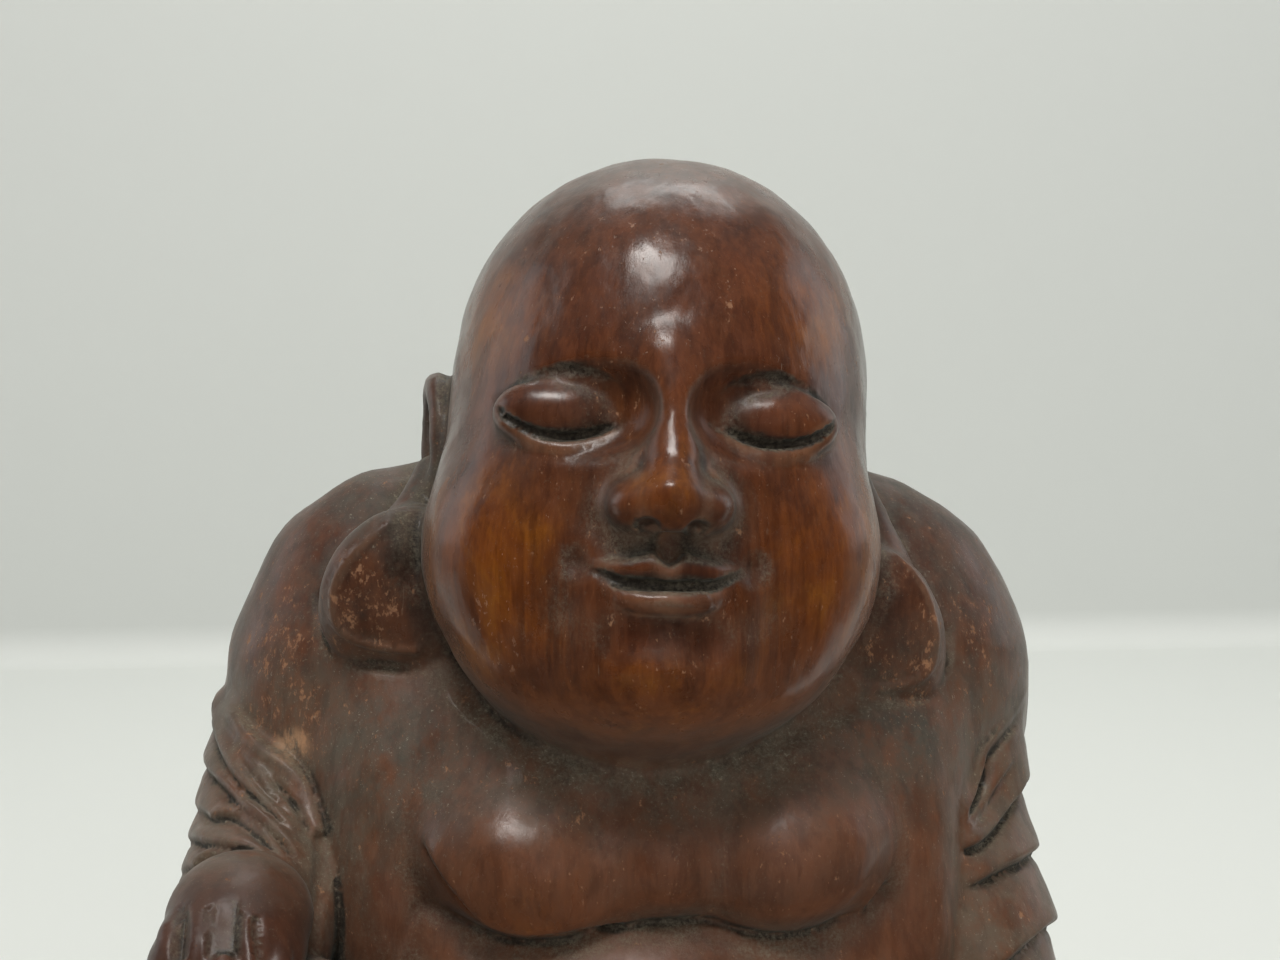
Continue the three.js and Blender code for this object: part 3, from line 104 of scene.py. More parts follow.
def group_value(g, x, y, z, at, pad=0.0):
    """the group's signed distance at points that lie within at = (lowest, highest, middle, radius)"""
    t, st = table(g), g["strokes"]
    d = np.full(x.shape, 60.0, F32)
    lo, hi, mid, rad = at
    near = np.all((t["low"] <= hi + pad) & (t["high"] >= lo - pad), axis=1)
    if not near.any():
        return d
    rows = {}
    m = mid.astype(F32)
    p = np.stack([x - m[0], y - m[1], z - m[2]])
    w = np.nonzero(near[t["balls"]])[0] if len(t["balls"]) else []
    if len(w):
        a = t["ball_rows"][w]
        off = np.einsum("bij,bj->bi", a, mid - t["ball_c"][w])
        q = (a.reshape(-1, 3).astype(F32) @ p).reshape(len(w), 3, -1)
        q += off.astype(F32)[:, :, None]
        q *= q
        k0 = np.sqrt(q[:, 0] + q[:, 1] + q[:, 2])
        q *= t["ball_w"][w][:, :, None]
        k1 = np.sqrt(q[:, 0] + q[:, 1] + q[:, 2])
        k1 += F32(1e-9)
        k1 **= -1
        k1 *= k0
        k0 -= 1
        k1 *= k0
        for n, i in enumerate(t["balls"][w]):
            rows[i] = k1[n]
    w = np.nonzero(near[t["owner"]])[0] if len(t["owner"]) else []
    if len(w):
        a, b, l2 = t["a"][w] - mid, t["b"][w], t["l2"][w]
        f = np.clip(-(a * b).sum(1) / l2, 0, 1)
        reach = np.sqrt(((a + f[:, None] * b) ** 2).sum(1)) - t["r_max"][w]
        own = t["owner"][w]
        first = np.nonzero(np.diff(own, prepend=-1))[0]
        low = np.minimum.reduceat(reach, first)
        count = np.diff(np.append(first, len(own)))
        keep = (reach <= np.repeat(low, count) + 2 * rad + 1e-6) & (reach <= rad + 14 + pad)
        a, b, l2, own, w = a[keep], b[keep], l2[keep], own[keep], w[keep]
        if len(w):
            af, bf, lf = a.astype(F32), b.astype(F32), l2.astype(F32)
            s = bf @ p
            s -= (a * b).sum(1).astype(F32)[:, None]
            f = s * (1 / lf)[:, None]
            np.clip(f, 0, 1, out=f)
            e = (F32(-2) * af) @ p
            e += (p * p).sum(0)
            e += (af * af).sum(1)[:, None]
            s *= 2
            s -= f * lf[:, None]
            s *= f
            e -= s
            np.maximum(e, 0, out=e)
            np.sqrt(e, out=e)
            tubes = t["tubes"][own]
            r0, dr = t["r"][w].astype(F32), t["dr"][w].astype(F32)
            first = np.nonzero(np.diff(own, prepend=-1))[0]
            last = np.append(first[1:], len(own))
            for i, j in zip(first, last):
                o = own[i]
                if tubes[i]:
                    v = e[i:j] - f[i:j] * dr[i:j, None]
                    v -= r0[i:j, None]
                    rows[o] = v.min(0) if j - i > 1 else v[0]
                else:
                    rows[o] = (e[i:j], f[i:j], w[i:j] - np.searchsorted(t["owner"], o))
    for i in np.nonzero(near)[0]:
        s = st[i]
        if s["kind"] == "free":
            d = s["fn"](d, None, x, y, z)
        elif i in rows:
            d = s["fn"](d, rows[i], x, y, z)
    return d


def around(x, y, z):
    lo = np.array([x.min(), y.min(), z.min()], float)
    hi = np.array([x.max(), y.max(), z.max()], float)
    return lo, hi, (lo + hi) / 2, float(np.linalg.norm(hi - lo)) / 2


def field(x, y, z, pad=0.0):
    at = around(x, y, z)
    d = np.full(x.shape, 60.0, F32)
    for g in GROUPS:
        d = smin(d, group_value(g, x, y, z, at, pad), g["k"])
    return d


def turned(deg):
    """the rows of the turn from the world to the stroke's own axes"""
    a, b, c = [math.radians(v) for v in deg]
    rx = np.array([[1, 0, 0], [0, math.cos(a), -math.sin(a)], [0, math.sin(a), math.cos(a)]])
    ry = np.array([[math.cos(b), 0, math.sin(b)], [0, 1, 0], [-math.sin(b), 0, math.cos(b)]])
    rz = np.array([[math.cos(c), -math.sin(c), 0], [math.sin(c), math.cos(c), 0], [0, 0, 1]])
    return list((rx @ ry @ rz).T.reshape(-1))


def ball_data(c, r, turn):
    inv = 1 / np.array(r, float)
    return np.array(turned(turn)).reshape(3, 3) * inv[:, None], np.array(c, float), inv ** 2


def ball(c, r, turn, k):
    stroke([c], max(r) + k, "ball", ball_data(c, r, turn), lambda d, v, x, y, z: smin(d, v, k))


def cutBall(c, r, turn, k):
    stroke([c], max(r) + k, "ball", ball_data(c, r, turn), lambda d, v, x, y, z: smax(d, -v, k))


def tube_data(points, radii):
    n, m = len(points) - 1, len(radii) - 1
    points = np.asarray(points, float)
    if n % m:
        parts = -(-m // n)
        f = np.linspace(0, n, n * parts + 1)
        points = np.stack([np.interp(f, np.arange(n + 1), points[:, c]) for c in range(3)], 1)
        n = n * parts
    return points, np.interp(np.linspace(0, m, n + 1), np.arange(m + 1), radii)


def tube(points, radii, k):
    stroke(points, max(radii) + k, "tube", tube_data(points, radii), lambda d, v, x, y, z: smin(d, v, k))


def cutTube(points, radii, k):
    stroke(points, max(radii) + k, "tube", tube_data(points, radii), lambda d, v, x, y, z: smax(d, -v, k))


def box_distance(c, h, e, m, x, y, z):
    px, py, pz = x - F32(c[0]), y - F32(c[1]), z - F32(c[2])
    m = [F32(v) for v in m]
    qx = np.abs(m[0] * px + m[1] * py + m[2] * pz) - F32(h[0] - e)
    qy = np.abs(m[3] * px + m[4] * py + m[5] * pz) - F32(h[1] - e)
    qz = np.abs(m[6] * px + m[7] * py + m[8] * pz) - F32(h[2] - e)
    ox, oy, oz = np.maximum(qx, 0), np.maximum(qy, 0), np.maximum(qz, 0)
    return np.sqrt(ox * ox + oy * oy + oz * oz) + np.minimum(np.maximum(qx, np.maximum(qy, qz)), 0) - F32(e)


def box(c, h, e, turn, k):
    m = turned(turn)
    stroke([c], float(np.linalg.norm(h)) + k, "free", None, lambda d, v, x, y, z: smin(d, box_distance(c, h, e, m, x, y, z), k))


def cutBox(c, h, e, turn, k):
    m = turned(turn)
    stroke([c], float(np.linalg.norm(h)) + k, "free", None, lambda d, v, x, y, z: smax(d, -box_distance(c, h, e, m, x, y, z), k))


def keepBelow(high, drop, start, sag, k, lean):
    def fn(d, v, x, y, z):
        f = np.maximum(0, start - y)
        b = np.clip((y - 20) / 40, 0, 1)
        return smax(d, (z - high + drop * f + sag * b * (1 - (x / 80) ** 2) + lean * np.maximum(0, x)) * F32(0.85), k)
    stroke([[-200, -200, -50], [200, 200, 350]], 0, "free", None, fn)


def line_data(points):
    p = np.asarray(points, float)
    return p, np.zeros(len(p))


def taper(t, fade):
    if fade <= 0:
        return F32(1)
    e = np.clip(np.minimum(t, 1 - t) * F32(1 / fade), 0, 1)
    return e * e * (3 - 2 * e)


def nearest(v, n):
    """distance and place along a line at its nearest point"""
    e, f, number = v
    i = e.argmin(0)
    w = np.arange(e.shape[1])
    return e[i, w], (f[i, w] + number[i].astype(F32)) * F32(1 / n), i, f[i, w], number


def groove(points, width, depth, fade):
    n = len(points) - 1

    def fn(d, v, x, y, z):
        r, t = nearest(v, n)[:2]
        u = np.maximum(0, 1 - r * F32(1 / width))
        return d + F32(depth) * taper(t, fade) * u * u * (1.5 - 0.5 * u)
    stroke(points, width, "line", line_data(points), fn)


def ridge(points, width, height, fade):
    n = len(points) - 1

    def fn(d, v, x, y, z):
        r, t = nearest(v, n)[:2]
        u = np.maximum(0, 1 - (r * F32(1 / width)) ** 2)
        return d - F32(height) * taper(t, fade) * u * u
    stroke(points, width, "line", line_data(points), fn)


def lap(line, height, wide, dig, fade):
    points, sides = np.asarray(line["points"], float), np.asarray(line["sides"], F32)
    n, e, pf = len(points) - 1, F32(LAP_EDGE), points.astype(F32)

    def fn(d, v, x, y, z):
        r, t, i, f, number = nearest(v, n)
        a, b, s, q = pf[number][i], pf[number + 1][i], sides[number][i], sides[number + 1][i]
        f1 = f[:, None]
        s = s + f1 * (q - s)
        a = a + f1 * (b - a)
        q = (x - a[:, 0]) * s[:, 0] + (y - a[:, 1]) * s[:, 1] + (z - a[:, 2]) * s[:, 2]
        u = np.maximum(0, 1 - r * F32(1 / wide))
        s = np.clip((q + e) / (2 * e), 0, 1)
        g = np.maximum(0, 1 - np.abs(q + e) / (2 * e + 1))
        return d - taper(t, fade) * (F32(height) * s * s * (3 - 2 * s) * u * np.sqrt(u) - F32(dig) * g * g * u)
    stroke(points, wide, "line", line_data(points), fn)


def in_blocks(points, size):
    """the points' numbers sorted into cubes of that size"""
    key = np.floor((points + 1000) / size).astype(np.int64)
    key = key[:, 0] + 1000 * (key[:, 1] + 1000 * key[:, 2])
    order = np.argsort(key, kind="stable")
    cut = np.nonzero(np.diff(key[order]))[0] + 1
    return np.split(order, cut)


# ---- lines and places on the surface ---------------------------------------------------
def spline(points, n):
    """Catmull-Rom curve through the points, with the ends' tangents mirrored"""
    p = [np.asarray(v, float) for v in points]
    p = [2 * p[0] - p[1]] + p + [2 * p[-1] - p[-2]]
    m, out = len(points) - 1, []
    for k in range(n + 1):
        f = k / n * m
        i = min(int(f), m - 1)
        t = f - i
        a, b, c, d = p[i:i + 4]
        u, v = 0.5 * (c - a), 0.5 * (d - b)
        out.append(list((2 * b - 2 * c + u + v) * t ** 3 + (-3 * b + 3 * c - 2 * u - v) * t * t + u * t + b))
    return out


def spline2(points, n):
    return [p[:2] for p in spline([[p[0], p[1], 0] for p in points], n)]


def value_at(points):
    """the group being carved, at scattered points"""
    p = np.asarray(points, float)
    x, y, z = [p[:, a].astype(F32) for a in range(3)]
    d = np.full(x.shape, 60.0, F32)
    for w in in_blocks(p, 16):
        xs, ys, zs = x[w], y[w], z[w]
        d[w] = group_value(GROUPS[-1], xs, ys, zs, around(xs, ys, zs))
    return d


def cast(starts, dirs, out, reach):
    """from each start along its direction to the first change of sign; out: it begins inside"""
    s, u = np.asarray(starts, float), np.asarray(dirs, float)
    n, lo, hi = len(s), np.zeros(len(s)), np.full(len(s), float(reach))
    for steps in (int(reach / 2), 16, 24):
        f = np.linspace(0, 1, steps + 1)
        t = lo[:, None] + (hi - lo)[:, None] * f[None]
        v = value_at((s[:, None] + t[..., None] * u[:, None]).reshape(-1, 3)).reshape(n, -1)
        met = (v >= 0) if out else (v <= 0)
        met[:, -1] = True
        i = np.maximum(met.argmax(1), 1)
        lo, hi = t[np.arange(n), i - 1], t[np.arange(n), i]
    return (s + hi[:, None] * u).tolist()


def hit(start, direction):
    return cast([start], [direction], False, 300)[0]


def front(points):
    return cast([[p[0], -150, p[1]] for p in points], [[0, 1, 0]] * len(points), False, 300)


def wrap(points, cx, cy):
    a = [math.radians(p[0]) for p in points]
    return cast([[cx + 150 * math.sin(t), cy - 150 * math.cos(t), p[1]] for t, p in zip(a, points)],
                [[-math.sin(t), math.cos(t), 0] for t in a], False, 300)


def seen(points):
    """from the eye through places [x, z] on the upright plane y = 0, to the surface"""
    u = [vunit([p[0] - EYE[0], -EYE[1], p[1] - EYE[2]]) for p in points]
    return cast([vadd(EYE, d, 200) for d in u], u, False, 300)


def vadd(a, b, f):
    return [a[0] + f * b[0], a[1] + f * b[1], a[2] + f * b[2]]


def vcross(a, b):
    return [a[1] * b[2] - a[2] * b[1], a[2] * b[0] - a[0] * b[2], a[0] * b[1] - a[1] * b[0]]


def vunit(a):
    n = math.sqrt(a[0] ** 2 + a[1] ** 2 + a[2] ** 2) + 1e-12
    return [a[0] / n, a[1] / n, a[2] / n]


def fold(points, flip):
    p = np.asarray(points, float)
    e = 0.6
    g = np.stack([value_at(p + e * np.eye(3)[a]) - value_at(p - e * np.eye(3)[a]) for a in range(3)], 1)
    g /= np.linalg.norm(g, axis=1)[:, None] + 1e-9
    t = np.concatenate([p[1:2] - p[0:1], p[2:] - p[:-2], p[-1:] - p[-2:-1]])
    s = np.cross(t, g)
    s /= (np.linalg.norm(s, axis=1)[:, None] + 1e-9) * flip
    return {"points": p, "sides": s}


def step(points, up):
    f = fold(points, 1)
    if (f["sides"] @ np.asarray(up, float)).sum() <= 0:
        f["sides"] = -f["sides"]
    return f


def ring(c, p, e, start, end, n):
    a = vadd(c, p, -1)
    nrm = vunit(vcross(vunit(e), a))
    out = vunit(vadd(a, nrm, -(a[0] * nrm[0] + a[1] * nrm[1] + a[2] * nrm[2])))
    side = vcross(nrm, out)
    dirs = []
    for i in range(n + 1):
        t = math.radians(start + (end - start) * i / n)
        dirs.append(vadd(vadd([0, 0, 0], out, math.cos(t)), side, math.sin(t)))
    return cast([c] * len(dirs), dirs, True, 60)


def pushed(c, points, out):
    return [vadd(p, vunit(vadd(p, c, -1)), out) for p in points]


def roll(c, p, e, start, end, r, sink, k):
    tube(pushed(c, ring(c, p, e, start, end, 16), -sink), [0.35 * r, 0.75 * r, 0.95 * r, r, r, r, 0.95 * r, 0.75 * r, 0.35 * r], k)


# ---- Named sizes, in millimetres -------------------------------------------
# +x is the viewer's right, the figure faces -y, +z is up.
FLAT = [0, 0, 0]
BACK = [0, 20, 128]; BACK_R = [72, 43, 60]
SHOULDER = [43.9, 17, 149]; SHOULDER_R = [30, 29, 33]
CHEST = [0, 3, 137]; CHEST_R = [57, 35, 26]
BELLY = [0, -13, 72]; BELLY_R = [57, 50, 47]
HEAD = [1, -6, 196]  # middle of the head
TILT = 10; ROLL = 3  # head leans back and a little to one side
HEAD_TURN = [-TILT, ROLL, 0]
BROW_Z = 9; EYE_Z = 1; NOSE_Z = -17; MOUTH_Z = -26; CHIN_Z = -43  # the face in equal thirds
EYE_X = 16.5  # half the distance between the eyes
KNEE_R = [-61, -43, 92]  # raised knee
KNEE_L = [78, -28, 37]  # folded knee

# ---- Torso -------------------------------------------------------------------
group('torso', 1)
ball(BACK, BACK_R, FLAT, 1)
for s in [-1, 1]:
    ball([s * SHOULDER[0] - 0.5 + 0.4 * s, SHOULDER[1], SHOULDER[2]], [SHOULDER_R[0] + 0.5 + 0.7 * s, SHOULDER_R[1], SHOULDER_R[2]], FLAT, 14)
tube([[-30, 16, 177], [-46, 15, 174.8], [-54, 14, 169.3]], [14, 13.6, 13.3], 8)
tube([[34, 16, 175.4], [44, 15, 172.2], [51.8, 14, 166.6]], [14, 13.4, 13.2], 8)
tube([[-54, 14, 150], [-57.5, 9, 136]], [19.5, 16], 8)
tube([[51.6, 14, 151], [51, 11, 143]], [18.6, 13.6], 8)
ball(CHEST, CHEST_R, FLAT, 10)
# flanks: the breast runs down into them without a fold
for s in [-1, 1]:
    ball([s * 45.2 - 0.4, -1.6, 111], [14, 26.6, 41], FLAT, 9)
for s in [-1, 1]:
    ball([s * 20.8 + 0.6, -19, 126.8], [20.8, 22, 15], [0, s * -14, 0], 7)
ball([0.5, -24, 127.6], [14, 16, 11.5], FLAT, 5)
# the breast ends below in a sharp cut edge
lap(step(seen(spline2([[-40.4, 122.8], [-38.1, 119.0], [-34.9, 113.8], [-31.1, 109.0], [-27.1, 105.8], [-22.0, 104.2], [-16.7, 104.4], [-10.0, 105.3], [-3.6, 106.2], [3.5, 105.6]], 26)), [0, 0, 1]), 1.5, 7, 1, 0.13)
lap(step(seen(spline2([[2.6, 105.1], [10.9, 103.5], [18.0, 101.9], [23.5, 101.0], [28.5, 100.6], [33.1, 101.1], [36.6, 102.7], [39.2, 105.5], [42.4, 109.2], [47.1, 113.5]], 26)), [0, 0, 1]), 1.5, 7, 1, 0.13)
# the breast is cut in under the jaw and the lobes
groove(seen(spline2([[-34.3, 153.9], [-29.6, 148.3], [-23.0, 142.6], [-15.8, 138.7], [-7.5, 135.9], [1.6, 133.9], [10.8, 135.1], [21.9, 139.0], [31.2, 142.6], [38.6, 146.2], [44.2, 149.4]], 24)), 4.4, 1.8, 0.1)
groove(seen(spline2([[-56.7, 169.4], [-56.6, 164.9], [-55.2, 160.5], [-52.4, 157.2], [-46.8, 155.4], [-40.7, 154.8]], 14)), 2.8, 1.5, 0.12)
groove(seen(spline2([[56.1, 161.2], [56.4, 155.9], [55.2, 151.5], [52.2, 148.1], [47.0, 146.7], [41.6, 146.7]], 14)), 2.8, 1.6, 0.12)
group('belly', 0.9)
ball(BELLY, BELLY_R, FLAT, 1)
ball([0, 2, 100], [56, 39, 30], FLAT, 12)
for s in [-1, 1]:
    ball([s * 37, -1, 110], [20, 27, 25], FLAT, 8)
cutBall([0, -64, 74], [3.2, 6, 4.2], FLAT, 3)

# ---- Head --------------------------------------------------------------------
M = turned(HEAD_TURN)
onHead = lambda p: [
HEAD[0] + M[0] * p[0] + M[3] * p[1] + M[6] * p[2],
HEAD[1] + M[1] * p[0] + M[4] * p[1] + M[7] * p[2],
HEAD[2] + M[2] * p[0] + M[5] * p[1] + M[8] * p[2]]
FORWARD = [-M[3], -M[4], -M[5]]  # the way the face looks
headBall = lambda c, r, k: ball(onHead(c), r, HEAD_TURN, k)
# a place on the face: x across and z up it, and out from its surface
onFace = lambda x, z, out: vadd(hit(onHead([x, -90, z]), [-FORWARD[0], -FORWARD[1], -FORWARD[2]]), FORWARD, out)
faceLine = lambda list, n: spline([onFace(p[0], p[1], p[2]) for p in list], n)
group('head', 1)
headBall([1.8, 5, 12], [36.4, 44, 37.9], 1)
headBall([0, -4, -15], [34.4, 37, 36], 14)
tube([onHead([0, 10, -30]), onHead([0, 22, -64])], [28, 34], 10)
for s in [-1, 1]:
    headBall([s * 20.8, -13, -22], [17.4, 21, 20], 10)
headBall([0, -13, -38], [28, 26, 15], 9)
headBall([0, -33, CHIN_Z + 7], [11, 9, 8], 9)
# nose
tube([onFace(0, BROW_Z - 1, -3.4), onFace(0, EYE_Z, -1.6), onFace(0, -8, 1.8), onFace(0, NOSE_Z + 4, 4.4)], [4.4, 4, 4.2, 5], 6)
for s in [-1, 1]:
    ball(onFace(s * 6, NOSE_Z + 3, 0.4), [4, 5.6, 3.6], HEAD_TURN, 4)
# brows: the hollows of the eyes cut a clean edge under them
for s in [-1, 1]:
    cutBall(onFace(s * (EYE_X + 0.5), EYE_Z + 0.2, 6.4), [14.5, 9.2, 9.4], HEAD_TURN, 2)
# closed lids
for s in [-1, 1]:
    ball(onFace(s * EYE_X, EYE_Z - 0.4, -3.6), [11.5, 6.8, 6.6], HEAD_TURN, 1.2)
# mound of the mouth
headBall([0, -34.5, MOUTH_Z], [14, 7, 8], 6)
for s in [-1, 1]:
    cutTube(faceLine([[s * 6.6, EYE_Z - 1.2, 0.3], [s * 10.5, EYE_Z - 3.4, 0], [s * 16.5, EYE_Z - 4.6, 0], [s * 22.5, EYE_Z - 3.4, 0], [s * 27.5, EYE_Z + 0.2, 0.3]], 14), [0.3, 0.9, 1, 0.9, 0.3], 0.7)
    tube(faceLine([[s * 8, EYE_Z - 3.2, -1], [s * 11.5, EYE_Z - 5.2, -0.5], [s * 16.5, EYE_Z - 6.2, -0.3], [s * 22, EYE_Z - 5, -0.5], [s * 26, EYE_Z - 2.4, -1]], 12), [0.6, 1.1, 1.2, 1.1, 0.6], 1.2)
    cutTube(faceLine([[s * 7.5, EYE_Z + 2.4, 0.6], [s * 11, EYE_Z + 5.2, 0.3], [s * 17, EYE_Z + 6.4, 0.2], [s * 23, EYE_Z + 5, 0.3], [s * 28, EYE_Z + 1.2, 0.6]], 14), [0.3, 0.7, 0.8, 0.7, 0.3], 0.8)
    cutBall(onFace(s * 3.8, NOSE_Z - 0.4, 0.4), [1.8, 2.6, 1.5], HEAD_TURN, 0.8)
UPPER = faceLine([[-12.5, MOUTH_Z + 2.6, -1.6], [-6.5, MOUTH_Z + 2.2, 0.1], [-2.2, MOUTH_Z + 2.9, 0.5], [0, MOUTH_Z + 2.1, 0.4], [2.2, MOUTH_Z + 2.9, 0.5], [6.5, MOUTH_Z + 2.2, 0.1], [12.5, MOUTH_Z + 2.6, -1.6]], 18)
LOWER = faceLine([[-11, MOUTH_Z + 0.8, -1.6], [-5, MOUTH_Z - 2.6, 0], [0, MOUTH_Z - 3.6, 0.3], [5, MOUTH_Z - 2.6, 0], [11, MOUTH_Z + 0.8, -1.6]], 16)
tube(UPPER, [0.7, 1.7, 2.1, 1.9, 2.1, 1.7, 0.7], 0.9)
tube(LOWER, [0.7, 2.2, 2.8, 2.2, 0.7], 0.9)
cutTube(faceLine([[-14, MOUTH_Z + 3.2, 0.2], [-7, MOUTH_Z + 0.1, 0.1], [0, MOUTH_Z - 0.2, 0.2], [7, MOUTH_Z + 0.1, 0.1], [14, MOUTH_Z + 3.2, 0.2]], 18), [0.4, 0.9, 0.9, 0.9, 0.4], 0.6)
for s in [-1, 1]:
    cutBall(onFace(s * 14.6, MOUTH_Z + 3, 1.9), [1.6, 2.4, 2], HEAD_TURN, 2.5)
cutTube(faceLine([[0, NOSE_Z - 2.2, 1], [0, MOUTH_Z + 4.6, 0.8]], 3), [1.6, 1.6], 1.6)
cutTube(faceLine([[-8, MOUTH_Z - 9.2, 3.4], [0, MOUTH_Z - 8, 3.2], [8, MOUTH_Z - 9.2, 3.4]], 6), [3.8, 4.4, 3.8], 3)

# ears with long lobes that lie on the shoulders
for s in [-1, 1]:
    headBall([s * 34.8, 10, -5], [4.4, 9.5, 15], 2)
    cutBall(onHead([s * 40, 8, -3.6]), [3.6, 4.6, 8.4], HEAD_TURN, 1)
    tube(spline([onHead([s * 36, 2, -14]), onHead([s * 36.6, 1.5, -5]), onHead([s * 37.2, 3.5, 3.6]), onHead([s * 37.8, 9, 8.4]), onHead([s * 38.2, 15, 6.6]), onHead([s * 38.2, 17.5, -2]), onHead([s * 37.6, 15, -12]), onHead([s * 37, 10, -20])], 20), [2, 1.8, 2, 2.4, 2.4, 2.4, 2.6, 3.4], 0.8)
    tube([onHead([s * 35.5, 6, -16]), onHead([s * 36.5, 3, -25])], [3.8, 4.6], 3)
ball([-44.2, -9.6, 170.2], [12.8, 7, 15.6], [12, 20, 20], 2)
ball([-39.5, -10.5, 165.5], [8.5, 6.5, 10.5], [8, 6, 0], 3)
ball([40, -10.6, 158.6], [13.4, 7.4, 19], [12, -6, -10], 1.6)
tube([[-37, 0, 189], [-39.5, -4, 183], [-43, -8, 176]], [3.6, 4.6, 7], 3)
tube([[37.6, 0, 188], [40, -4, 180], [42, -8, 169]], [3.6, 4.6, 7.4], 3)
# raised rims of the lobes
tube(seen(spline2([[-45.3, 180.3], [-48.9, 177.3], [-52.2, 173.9], [-54.4, 170.3], [-55.3, 166.3], [-54.7, 162.3], [-52.0, 159.6], [-46.2, 158.0], [-40.7, 157.3]], 26)), [0.3, 0.5, 0.6, 0.7, 0.7, 0.7, 0.6, 0.6, 0.5], 1.2)
tube(seen(spline2([[46.8, 173.2], [48.9, 171.3], [51.0, 168.7], [52.7, 165.7], [53.9, 162.0], [54.5, 157.5], [53.7, 153.0], [51.1, 150.2], [46.8, 148.8], [41.9, 148.5]], 26)), [0.3, 0.5, 0.6, 0.7, 0.7, 0.7, 0.7, 0.6, 0.6, 0.5], 1.2)

# ---- Robe: back, seat and sleeves -----------------------------------------------
group('robe', 0.8)
ball([0, 21, 118], [74.5, 45.5, 66], FLAT, 1)
ball([0, 20, 44], [80, 50, 40], FLAT, 16)
cutBox([-3.6, -70, 110], [55.1, 62, 90], 8, FLAT, 4)
tube([[-57, 13, 150], [-61.3, 8, 136.4], [-63.8, -4, 122], [-68.2, -23, 114]], [17.8, 17.6, 17.3, 14], 5)
tube([[55, 8, 149], [55, 5, 126], [57.8, -3, 98], [64.4, -26, 74]], [17.4, 16.8, 17, 13], 5)
ball([57.8, -1, 86], [17, 24, 38], FLAT, 8)
ball([51.6, -6, 103], [8.6, 16.4, 38], FLAT, 5)
keepBelow(150, 0.6, 4, 4, 1.5, 0.05)
# collar: the rolled top edge, right round the back
tube(pushed([0, 20, 146], wrap([[92, 144], [110, 143.2], [135, 142], [160, 142], [180, 142.5], [200, 143], [225, 144.5], [250, 146.5], [268, 147.5]], 0, 20), -1.4), [3.2, 3.4, 3.4, 3.2], 1)
# right sleeve: a rolled edge over the skin, then folds from the breast round the outside of the arm
R_ARM = [-60, 2, 132]
tube(pushed(R_ARM, [*wrap([[-160, 146.5], [-130, 147], [-100, 147], [-86, 146.5]], -58, 10), *seen(spline2([[-73.2, 145.6], [-71.2, 141.9], [-68.0, 139.0], [-64.2, 136.4], [-61.4, 133.2], [-59.5, 128.7], [-58.2, 123.8]], 14))], -0.4), [0.8, 1.3, 1.5, 1.5, 1.5, 1.4, 1.1], 1)
lap(step([*wrap([[-160, 146], [-120, 146.5], [-97, 146.5], [-84, 143.5]], -58, 9), *seen(spline2([[-75.1, 138.5], [-73.4, 135.5], [-71.0, 132.5], [-68.2, 129.5], [-65.3, 126.4], [-61.9, 123.2]], 12))], [0, 0, 1]), 2, 4.2, 1.1, 0.2)
lap(step(seen(spline2([[-72.6, 140.1], [-70.2, 136.3], [-67.5, 132.4], [-64.5, 129.0], [-61.4, 125.6]], 12)), [0, 0, 1]), 1.2, 2.8, 0.9, 0.3)
lap(step(seen(spline2([[-67.7, 136.3], [-65.1, 133.3], [-62.5, 129.7], [-60.5, 125.7], [-59.1, 121.6]], 12)), [0, 0, 1]), 1.2, 2.8, 0.9, 0.3)
lap(step([*wrap([[-160, 137], [-120, 137], [-95, 136.5]], -59, 6), *seen(spline2([[-75.9, 133.9], [-74.0, 131.8], [-72.1, 129.4], [-69.7, 127.3], [-66.9, 124.6], [-63.9, 121.0], [-61.3, 117.2]], 14))], [0, 0, 1]), 2.1, 4.6, 1.2, 0.2)
lap(step([*wrap([[-160, 130], [-120, 129.5], [-95, 128.8]], -60, 3), *seen(spline2([[-77.5, 127.3], [-75.0, 127.6], [-72.7, 127.4], [-70.6, 125.6], [-68.5, 123.2], [-65.9, 120.3], [-62.9, 117.2]], 14))], [0, 0, 1]), 2.3, 4.4, 1.2, 0.25)
lap(step([*wrap([[-160, 121.5], [-120, 122], [-95, 122.8]], -60, 0), *seen(spline2([[-79.0, 122.7], [-76.9, 122.3], [-74.4, 121.7], [-71.6, 121.2], [-68.8, 119.5], [-66.2, 117.5], [-63.7, 115.2], [-61.0, 113.1]], 14))], [0, 0, 1]), 2.3, 4.4, 1.2, 0.2)
lap(step([*wrap([[-160, 111.5], [-120, 113], [-95, 116.8]], -61, -4), *seen(spline2([[-80.6, 118.1], [-79.1, 119.6], [-77.3, 120.3], [-74.8, 119.8], [-72.0, 118.8], [-68.8, 117.0], [-65.3, 114.3]], 14))], [0, 0, 1]), 2, 4, 1.1, 0.2)
# left sleeve: two rolls, then overlapping flat panels
lap(step([*seen(spline2([[58.7, 121.0], [59.8, 125.6], [61.2, 128.2], [62.9, 132.0], [64.3, 136.0], [66.5, 138.7], [68.6, 141.7], [70.0, 144.2]], 16)), *wrap([[100, 143.5], [125, 143], [155, 142]], 54, 10)], [0, 0, 1]), 2.2, 8, 1.4, 0.15)
lap(step([*seen(spline2([[58.8, 117.6], [60.8, 118.3], [63.3, 119.8], [65.5, 122.0], [67.4, 124.6], [69.2, 127.6], [70.3, 129.7]], 16)), *wrap([[100, 129.5], [125, 128], [155, 127]], 55, 8)], [0, 0, 1]), 2.6, 14, 1.3, 0.15)
lap(step([*seen(spline2([[59.8, 109.9], [64.6, 112.4], [67.8, 113.9], [70.4, 115.1], [72.5, 116.6]], 14)), *wrap([[95, 115.5], [120, 112], [155, 110]], 56, 4)], [0, 0, 1]), 2.8, 15, 0.8, 0.2)
